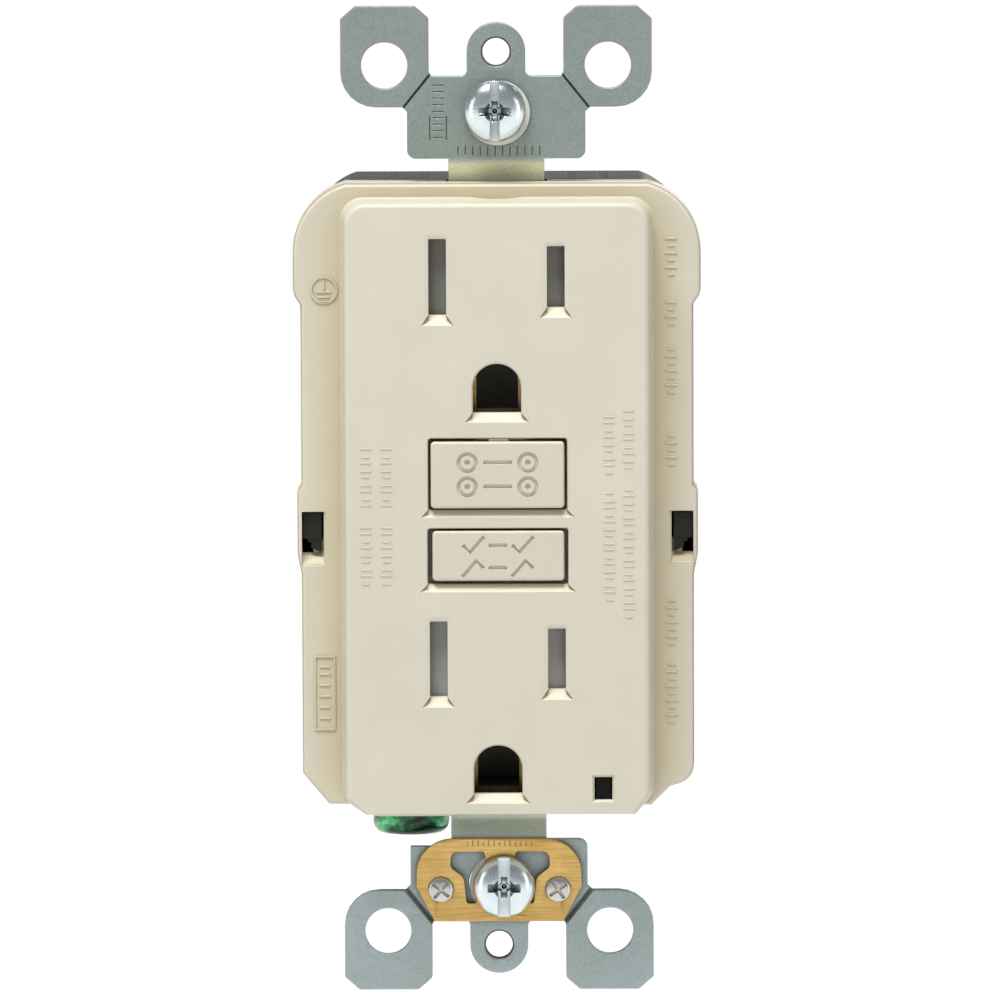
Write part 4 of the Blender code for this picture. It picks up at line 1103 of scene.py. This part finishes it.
def make_shutters():
    """Grey shutters behind the blade slots, each with the slope that a blade pushes aside."""
    for name, outlet_z in OUTLETS.items():
        for kind, (side, _) in SLOTS.items():
            profile = [(4.0, -6.15), (5.0, -6.15), (7.5, -5.6), (7.9, -5.6), (7.9, -4.6), (4.0, -4.6)]
            rings = []
            for z, inset in ((-4.6, 0.1), (-4.5, 0.0), (4.5, 0.0), (4.6, 0.1)):
                rings.append([(side * x, y, outlet_z + z) for x, y in grown(profile, -inset)])
            shutter = skin(rings)
            grip = side_box(side, 4.3, 4.7, (-7, outlet_z - 3), (-5.9, outlet_z + 3))
            cut(shutter, grip)
            body, node = f"{name}_{kind}_shutter_body", f"{name}_{kind}_shutter"
            # Painted light: the upper shutters take the darker grey and the lower ones a lighter copy of it.
            shade = "grey" if name == "upper" else "pale_grey"
            piece(shutter, f"{name}_{kind}_blade_shutter", body, shade, [node])


def coil(start, end, radius, wire_radius, turns, per_turn=20, sides=8):
    """A compression spring of round wire between two points, with a closed turn at each end."""
    start, end = Vector(start), Vector(end)
    turn = (end - start).to_track_quat("Z", "Y").to_matrix()
    length = (end - start).length - 2 * wire_radius
    closed = 2 * wire_radius / length
    rings = []
    for step in range(turns * per_turn + 1):
        angle = 2 * math.pi * step / per_turn
        share = step / (turns * per_turn)
        lap = 1 / turns
        if share < lap:
            rise = closed * share / lap
        elif share > 1 - lap:
            rise = 1 - closed * (1 - share) / lap
        else:
            rise = closed + (1 - 2 * closed) * (share - lap) / (1 - 2 * lap)
        out = Vector((math.cos(angle), math.sin(angle), 0.0))
        middle = out * radius + Vector((0, 0, wire_radius + length * rise))
        ring = []
        for index in range(sides):
            around = 2 * math.pi * index / sides
            local = middle + (out * math.cos(around) + Vector((0, 0, math.sin(around)))) * wire_radius
            ring.append(start + turn @ local)
        rings.append(ring)
    return skin(rings)


def make_springs():
    """The springs of the button and the shutters, as coils of wire."""
    for name, outlet_z in OUTLETS.items():
        spring = coil((-3.9, -5.4, outlet_z), (3.9, -5.4, outlet_z), 0.55, 0.12, 7)
        node = f"{name}_shutter_spring"
        piece(spring, f"{name}_shutter_coil", "housing", "steel", [node], 60)
        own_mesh(spring)
    spring = coil((0, -3.9, RESET_AXIS_Z), (0, 2.7, RESET_AXIS_Z), 1.9, 0.25, 6)
    piece(spring, "reset_return_coil", "housing", "steel", ["reset_spring"], 60)
    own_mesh(spring)


# ---------------------------------------------------------------- strap and clip


def end_half():
    """The right half of one end of the strap: a plate with an ear, up to its centre lobe."""
    return rounded(
        [
            (5.17, 36.9, 0),
            (9.6, 36.9, 0.95),
            (9.6, 41.95, 0),
            (10.1, 42.45, 0.15),
            (16.75, 42.45, 3.8),
            (16.75, 51.95, 0.2),
            (15.15, 53.35, 0.2),
            (8.75, 53.35, 0.6),
            (7.25, 52.05, 0.6),
            (7.25, 46.2, 0.1),
            (6.95, 45.8, 0.1),
            (3.15, 45.8, 0.6),
            (3.15, 48.0, 0),
        ]
    )


def v_groove(start, end, width, depth):
    """A cutter for a V groove across the strap's front, between two points (x, z)."""
    start, end = Vector(start), Vector(end)
    along = (end - start).normalized()
    across = Vector((-along.y, along.x)) * width / 2
    front, rings = STRAP_FRONT - depth / 2, []
    for point in (start, end):
        near, far = point + across * 1.5, point - across * 1.5
        bottom = (point.x, STRAP_FRONT + depth, point.y)
        rings.append([(near.x, front, near.y), (far.x, front, far.y), bottom])
    return skin(rings)


def strap_bend(z):
    """How far back the strap lies at a height.

    It steps back round the cover's end, and forward again inside.
    """
    steps = [min(1.0, max(0.0, (start - abs(z)) / length)) for start, length in STRAP_STEPS]
    outside, inside = [share * share * (3 - 2 * share) for share in steps]
    return STRAP_STEP * (outside - inside)


def make_strap():
    half = end_half()
    end = half + arc((0, 48.42), 3.15, 0, 180, 24) + mirrored(half)
    spine = rounded(
        [
            (5.17, -31.9, 0),
            (4.3, -31.4, 0),
            (4.3, -11.0, 0),
            (9.6, -11.0, 0.5),
            (9.6, 10.0, 0.5),
            (4.3, 10.0, 0),
            (4.3, 31.4, 0),
            (5.17, 31.9, 0),
        ]
    )
    outline = spine + end + mirrored(spine) + flipped(end)
    slot = box_outline(-3.25, 39.55, 3.25, 43.95, 2.1, 8)
    holes = [circle(12.03, 46.95, 2.5, 48), circle(-12.03, 46.95, 2.5, 48), circle(0, 48.42, 1.6, 40), slot]
    holes += [flipped(hole) for hole in holes]
    holes.append(box_outline(-7.9, -9.3, 7.9, 8.2))
    for outlet_z in OUTLETS.values():
        holes.append(ground_hole(outlet_z, 0.2))
        holes.append(circle(0, outlet_z - RIVET_DROP, 0.85, 20))
    for x in CLIP_RIVETS.values():
        holes.append(circle(x, CLIP_RIVET_Z, 0.95, 24))
    strap = plate([outline] + holes, STRAP_FRONT, 0.0, 0.13, 2)
    bm = bmesh.new()
    bm.from_mesh(strap.data)
    levels = [31.0 + 0.21 * step for step in range(11)] + [34.6 + 0.15 * step for step in range(16)]
    for level in levels + [-level for level in levels]:
        geometry = bm.verts[:] + bm.edges[:] + bm.faces[:]
        bmesh.ops.bisect_plane(bm, geom=geometry, plane_co=(0, 0, level * MM), plane_no=(0, 0, 1), dist=1e-7)
    for vertex in bm.verts:
        vertex.co.y += strap_bend(vertex.co.z / MM) * MM
    bm.to_mesh(strap.data)
    bm.free()

    x, y = GROUND_SCREW
    tab_levels = [(-34.25, -0.08), (-34.17, 0), (-33.53, 0), (-33.45, -0.08)]
    tab = slab(box_outline(-13.6, -2.1, -4.2, 8.6, 0.9, 5), tab_levels, "Z")
    cut(tab, rod((x, y, -36), (x, y, -32), 2.02))
    join(strap, tab)
    tools = [block((-11.5, -1.6, -37.7), (-5.17, 0.6, -35.0))]
    for sign in (1, -1):
        for side in (1, -1):
            start, finish = (side * 6.5, sign * 46.75), (side * 10.6, sign * 41.65)
            width, depth = (0.34, 0.3) if sign > 0 else (0.66, 0.42)
            tools.append(v_groove(start, finish, width, depth))
    # Plain stamped lines where the real strap carries lettering
    for x_line, low_z, high_z in ((-7.15, 38.9, 41.5), (-5.35, 38.9, 41.5)):
        tools.append(block((x_line - 0.08, -1.2, low_z), (x_line + 0.08, -0.86, high_z)))
    for step in range(9):
        z = 39.15 + 0.7 * step
        tools.append(block((-6.85, -1.2, z), (-5.65, -0.88, z + 0.14)))
    for step in range(12):
        x_line = -4.2 + 0.8 * step
        tools.append(block((x_line, -1.2, 37.25), (x_line + 0.15, -0.88, 38.25)))
    cut(strap, *tools)
    piece(strap, "strap_plate", "housing", "zinc", ["mounting_strap"], 40)
    threads = []
    for sign in (1, -1):
        for step in range(3):
            low = -0.88 + 0.28 * step
            outlines = [circle(0, sign * 48.42, 1.62, 40), circle(0, sign * 48.42, 1.46, 40)]
            threads.append(plate(outlines, low, low + 0.2, 0.06, 1))
    piece(gather(threads), "strap_threads", "housing", "thread", (), 40)


def clip_window(side):
    """A window beside the screw: broad and round above, drawn down to a narrow tail."""
    outer = [(5.35, -38.15, 0.8), (5.4, -39.9, 0.7), (3.95, -41.0, 0.9), (3.65, -43.85, 0.35)]
    inner = [(2.6, -43.85, 0.2), (2.2, -42.0, 0), (2.2, -40.6, 0), (1.55, -38.9, 0.4), (1.7, -38.15, 0.35)]
    corners = [(side * u + 0.12, v, r) for u, v, r in outer + inner]
    points = rounded(corners, 5)
    return slab(points, [(-3.0, 0), (0.0, 0)])


def make_clip():
    half = arc((4.9, -40.35), 3.57, 90, 0, 16)
    half = [(u + (u - 4.9) * 0.12, v) for u, v in half]
    half += [(8.95, -42.0), (6.95, -45.8)]
    holes = [circle(x, CLIP_RIVET_Z, 0.95, 24) for x in CLIP_RIVETS.values()]
    holes.append(circle(0.4, -41.9, 3.1, 48))
    clip = plate([half + mirrored(half), *holes], -1.8, -1.15, 0.07, 2)
    tools = [clip_window(-1), clip_window(1)]
    for step in range(13):
        x = -3.5 + 0.58 * step
        tall = 0.62 if step % 3 else 0.36
        tools.append(block((x, -2.0, -37.55), (x + 0.16, -1.7, -37.55 + tall)))
    cut(clip, *tools)
    piece(clip, "clip_plate", "housing", "clip", ["grounding_clip"], 40)
    for name, x in CLIP_RIVETS.items():
        profile = [(0.0, 0.2), (0.85, 0.2), (0.85, 1.85), (1.35, 1.87)]
        profile += [(1.35, 2.08), (1.25, 2.22), (1.05, 2.3), (0.0, 2.3)]
        rivet = turned(profile, (x, 0, CLIP_RIVET_Z), (0, -1, 0), 32)
        lean = math.radians(40 if name == "left" else 55)
        for turn_angle in (lean, lean + math.radians(90)):
            bar = block((-1.12, -2.45, -0.17), (1.12, -2.0, 0.17))
            bar.data.transform(Matrix.Rotation(turn_angle, 4, "Y"))
            bar.data.transform(Matrix.Translation(Vector((x, 0, CLIP_RIVET_Z)) * MM))
            cut(rivet, bar)
        piece(rivet, f"staked_rivet_{name}", "housing", "nickel", [f"clip_rivet_{name}"])


# ---------------------------------------------------------------- screws


def dome(radius, height, edge, steps=9):
    """The profile of a domed head from its rim to its middle, as (radius, height)."""
    points = [(radius - 0.1, 0.0), (radius, 0.1), (radius, edge)]
    for step in range(1, steps + 1):
        angle = math.radians(90 * step / steps)
        reach = radius * math.cos(angle) ** 0.8
        points.append((reach, edge + (height - edge) * math.sin(angle) ** 0.85))
    return points


def thread(core, crest, pitch, start, end, per_turn=8):
    """Rings for a threaded length that runs from start down to end, and its wobble."""
    count = int(round((start - end) / pitch * per_turn))
    rings = [(core, start - (start - end) * step / count) for step in range(count + 1)]

    def wobble(angle, height):
        if height > start or height < end:
            return 0.0
        phase = (height / pitch - angle / (2 * math.pi)) % 1
        fade = min(1.0, (start - height) / (pitch * 1.5), (height - end) / (pitch * 1.5))
        return (crest - core) * (1 - abs(2 * phase - 1)) * fade

    return rings, wobble


def screw_body(head, core, crest, pitch, length, centre, axis, sides=40):
    """A screw: head profile from the rim inwards, then its shank with a real helical thread."""
    rings, wobble = thread(core, crest, pitch, -0.5, -length + 0.9)
    profile = head[::-1] + [(core + 0.12, -0.01), (core + 0.12, -0.3)] + rings
    profile += [(core, -length + 0.6), (core - 0.45, -length), (0.0, -length)]
    return turned(profile, centre, axis, sides, wobble)


def wing(long_side, width, depth, across, front):
    """One arm pair of a cross recess, tapering as it goes in."""
    rings = []
    mouth, bottom = (front - 0.4, long_side * 1.12, width * 1.1), (front + depth, 1.3, width * 0.55)
    for level, length, wide in (mouth, bottom):
        u, v = (length / 2, wide / 2) if across else (wide / 2, length / 2)
        rings.append([(-u, level, -v), (u, level, -v), (u, level, v), (-u, level, v)])
    return skin(rings)


def make_mounting_screws():
    for end, (x, z) in MOUNTING_SCREWS.items():
        body = f"{end}_screw"
        screw = screw_body(dome(3.35, 2.1, 0.42), 1.4, 1.75, 0.794, 24.0, (0, -2.15, 0), (0, -1, 0))
        front = -4.25
        slot_half = 0.53 if end == "top" else 0.68
        slot = block((-slot_half, front - 1, -4), (slot_half, front + 1.15, 4))
        cone = rod((0, front + 2.25, 0), (0, front - 0.4, 0), 0.1, 32, 1.35)
        cut(screw, slot, wing(3.9, 0.95, 1.85, True, front), wing(3.9, 0.95, 1.85, False, front), cone)
        screw.data.transform(Matrix.Translation(Vector((x, 0, z)) * MM))
        piece(screw, f"{end}_truss_screw", body, "bright", [f"{end}_mounting_screw"], 30)
        if end == "top":
            outlines = [circle(x + 0.3, z - 0.25, 3.5, 48), circle(x + 0.2, z - 0.2, 2.2, 32)]
            washer = plate(outlines, -1.5, -1.05, 0.08)
        else:
            washer = plate([circle(x - 0.35, z, 3.4, 48), circle(x, z, 1.9, 32)], -1.13, -1.02, 0.02)
        node = f"{end}_screw_retainer"
        piece(washer, f"{end}_fibre_washer", f"{end}_washer", "fibre", [node])


def make_ground_screw():
    x, y = GROUND_SCREW
    head = [(2.1, 0.0), (4.05, 0.02), (4.15, 0.15), (4.15, 1.15)]
    for angle in map(math.radians, (25, 50, 70, 90)):
        head.append((4.15 - 1.15 * (1 - math.cos(angle)), 1.15 + 1.2 * math.sin(angle)))
    head += [(0.0, 2.4)]
    screw = screw_body(head, 1.55, 1.88, 0.794, 4.8, (0, 0, -34.4), (0, 0, -1), 48)
    slot = block((-5, -0.6, -38), (5, 0.6, -35.85))
    cross = block((-0.55, -2.6, -38), (0.55, 2.6, -35.75))
    cut(screw, slot, cross)
    screw.data.transform(Matrix.Translation(Vector((x, y, 0)) * MM))
    piece(screw, "green_ground_screw", "ground_screw_body", "green", ["ground_screw"], 30)


def make_terminals():
    for name, (side, z) in TERMINALS.items():
        metal, slot_name = ("brass", "brass") if name.endswith("hot") else ("nickel", "nickel_plated")
        screw = screw_body(dome(3.8, 2.1, 0.6), 1.38, 1.7, 0.794, 4.2, (0, 0, 0), (0, 0, 1), 40)
        cut(
            screw,
            block((-4.5, -0.6, 1.05), (4.5, 0.6, 3)),
            block((-0.55, -2.0, 0.7), (0.55, 2.0, 3)),
            block((-2.0, -0.55, 0.7), (2.0, 0.55, 3)),
        )
        screw.data.transform(Matrix.Rotation(math.radians(35), 4, "Z"))
        screw.data.transform(Matrix.Rotation(math.radians(90 * side), 4, "Y"))
        screw.data.transform(Matrix.Translation(Vector((side * 16.9, TERMINAL_Y, z)) * MM))
        node = f"{name}_terminal_screw"
        piece(screw, f"{name}_binding_screw", f"{name}_screw", metal, [node], 30)

        outline = box_outline(TERMINAL_Y - 4.3, z - 4.3, TERMINAL_Y + 4.3, z + 4.3, 0.5)
        low, high = sorted((side * 15.7, side * 16.7))
        clamp = slab(outline, [(low, -0.12), (low + 0.12, 0), (high - 0.12, 0), (high, -0.12)], "X")
        tools = [rod((side * 15, TERMINAL_Y, z), (side * 17.5, TERMINAL_Y, z), 1.88)]
        inner = side * 15.7
        for step in range(-3, 4):
            groove_y = TERMINAL_Y + 1.15 * step
            tools.append(rod((inner, groove_y, z - 6), (inner, groove_y, z + 6), 0.22, 8))
        cut(clamp, *tools)
        node = f"{name}_clamp_plate"
        piece(clamp, f"{name}_pressure_plate", f"{name}_clamp", "zinc", [node])


# ---------------------------------------------------------------- housing


def housing_outline(inset=0.0):
    right = shoulder_outline(
        20.7 - inset,
        34.4 - inset,
        15.6,
        7.2,
        [(16.4, -32.8 + inset), (18.2 - inset / 2, -31.0 + inset), (19.2, -30.6 + inset)]
        + arc((18.9, -28.6), 1.8 - inset, -60, 0, 4),
    )
    cut_corner = [(18.0, -32.8 + inset), (20.7 - inset, -29.4)]
    left = shoulder_outline(20.7 - inset, 34.4 - inset, 15.6, 7.2, cut_corner)
    return right + mirrored(left)


def side_box(side, near, far, low, high, radius=0.0):
    low_x, high_x = sorted((side * near, side * far))
    return block((low_x, *low), (high_x, *high), radius)


def make_housing():
    outline = housing_outline()
    lip = 5.6
    levels = [(HOUSING_FRONT, 0.0), (lip - 0.15, 0.0), (lip, -0.12), (lip, -0.35), (lip + 0.45, -0.35)]
    levels += [(lip + 0.5, -0.05), (HOUSING_BACK - 0.9, -0.3)]
    levels += [(level, grow - 0.3) for level, grow in round_over(HOUSING_BACK, 0.8, 1, 4)[1:]]
    housing = slab(outline, levels)
    hooks = []
    for side in (-1, 1):
        hooks.append(side_box(side, 19.0, 21.02, (-2.9, -3.95), (HOUSING_FRONT + 1, -1.15), 0.15))
        barb = [(19.0, -3.5), (20.6, -3.5), (20.45, -4.3), (20.1, -4.4), (20.1, -4.95), (19.0, -5.45)]
        barb = [(side * x, z) for x, z in barb]
        hooks.append(slab(barb, [(-2.75, -0.05), (-2.7, 0), (-2.1, 0)]))
        hooks.append(side_box(side, 19.0, 20.4, (-2.7, -3.9), (-2.1, -3.4)))
    join(housing, *hooks)
    tools = [block((-13.1, HOUSING_FRONT - 1, -31.4), (13.1, 23.6, 33.1))]
    for side in (-1, 1):
        for low_z, high_z in ((-9.0, 9.0), (23.0, 28.6), (-28.0, -23.0)):
            tools.append(side_box(side, 12.6, 19.3, (HOUSING_FRONT - 1, low_z), (23.6, high_z)))
    for name, (side, z) in TERMINALS.items():
        tools.append(side_box(side, 14.4, 24, (6.0, z - 5.3), (18.0, z + 5.3)))
        tools.append(rod((side * 12, TERMINAL_Y, z), (side * 15, TERMINAL_Y, z), 2.0))
        if name.startswith("line"):
            tools.append(side_box(side, 12.5, 14.9, (10.8, z + 2.3), (12.2, z + 4.9)))
        else:
            tools.append(side_box(side, 12.5, 14.9, (7.0, z - 2.4), (8.3, z + 2.4)))
        for offset in (-3.3, 3.3):
            hole = (side * 16.4, z + offset)
            tools.append(rod((hole[0], 17, hole[1]), (hole[0], 27, hole[1]), 1.4))
            tools.append(rod((hole[0], 24.2, hole[1]), (hole[0], 25.4, hole[1]), 1.4, 32, 2.6))
        # A wire stripping gauge: a shallow channel behind each terminal
        tools.append(block((side * 9.6 - 0.7, 24.6, z - 5.5), (side * 9.6 + 0.7, 26, z + 5.5)))
    # Shallow panels and mould ejector marks on the back
    tools.append(slab(box_outline(-6.8, -13.5, 6.8, 13.5, 1.0), [(24.55, 0), (26, 0.3)]))
    for x, z in ((-9.6, 29.6), (9.6, 29.6), (-9.6, -28.4), (9.6, -28.4), (0, 24.0), (0, -22.0)):
        tools.append(rod((x, 24.75, z), (x, 26, z), 1.6, 40))
    x, y = GROUND_SCREW
    tools.append(rod((x, y, -36), (x, y, -29), 2.1))
    for sign in (-1, 1):
        for x in (-11.5, -8.0, 8.0, 11.5) if sign > 0 else (5.5, 9.0, 12.5):
            low, high = sorted((sign * 34.1 - (sign < 0) * -1.6, sign * 36))
            tools.append(block((x - 0.5, 7.2, low), (x + 0.5, 22.5, high)))
    for side in (-1, 1):
        for z in (-26.5, -7.2, -3.6, 0.0, 3.6, 7.2, 26.0):
            tools.append(side_box(side, 20.25, 22, (8.2, z - 0.5), (22.0, z + 0.5)))
    cut(housing, *tools)
    raised = []
    for side in (-1, 1):
        for z in (-11.0, -9.0, -7.0, 7.0, 9.0, 11.0):
            raised.append(side_box(side, 1.5, 5.0, (24.4, z - 0.2), (24.85, z + 0.2)))
    join(housing, *raised)
    piece(housing, "rear_shell", "housing", "black", ["rear_housing"], 30)


# ---------------------------------------------------------------- what stays from the CAD model


KEPT = {
    "white": ("mid_separator", "upper_shutter_tray", "lower_shutter_tray", "contact_carriage"),
    "brass": (
        "upper_ground_contact",
        "lower_ground_contact",
        "upper_ground_rivet",
        "lower_ground_rivet",
        "hot_contact_bar",
        "neutral_contact_bar",
        "hot_contact_arm",
        "neutral_contact_arm",
        "line_hot_terminal_plate",
        "load_hot_terminal_plate",
    ),
    "bright": ("reset_pin",),
    "steel": ("test_spring_arm", "latch_plate", "solenoid_plunger", "plunger_spring"),
    "led": ("indicator_led",),
    "bobbin": ("solenoid_bobbin",),
    "copper": ("solenoid_coil",),
    "zinc": ("solenoid_frame",),
    "black": ("transformer_housing",),
    "ferrite": ("sense_transformer_core", "neutral_transformer_core"),
    "board": ("circuit_board",),
    "blue": ("surge_disc", "filter_capacitor"),
    "nickel": ("line_neutral_terminal_plate", "load_neutral_terminal_plate"),
}


def finish_kept_nodes():
    for material, names in KEPT.items():
        for name in names:
            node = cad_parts[name]
            node.data.materials.clear()
            node.data.materials.append(MATERIALS[material])


make_camera()
make_studio()
MATERIALS = make_materials()
make_cover()
make_moulded_marks()
make_buttons()
make_shutters()
make_springs()
make_strap()
make_clip()
make_mounting_screws()
make_ground_screw()
make_terminals()
make_housing()
finish_kept_nodes()
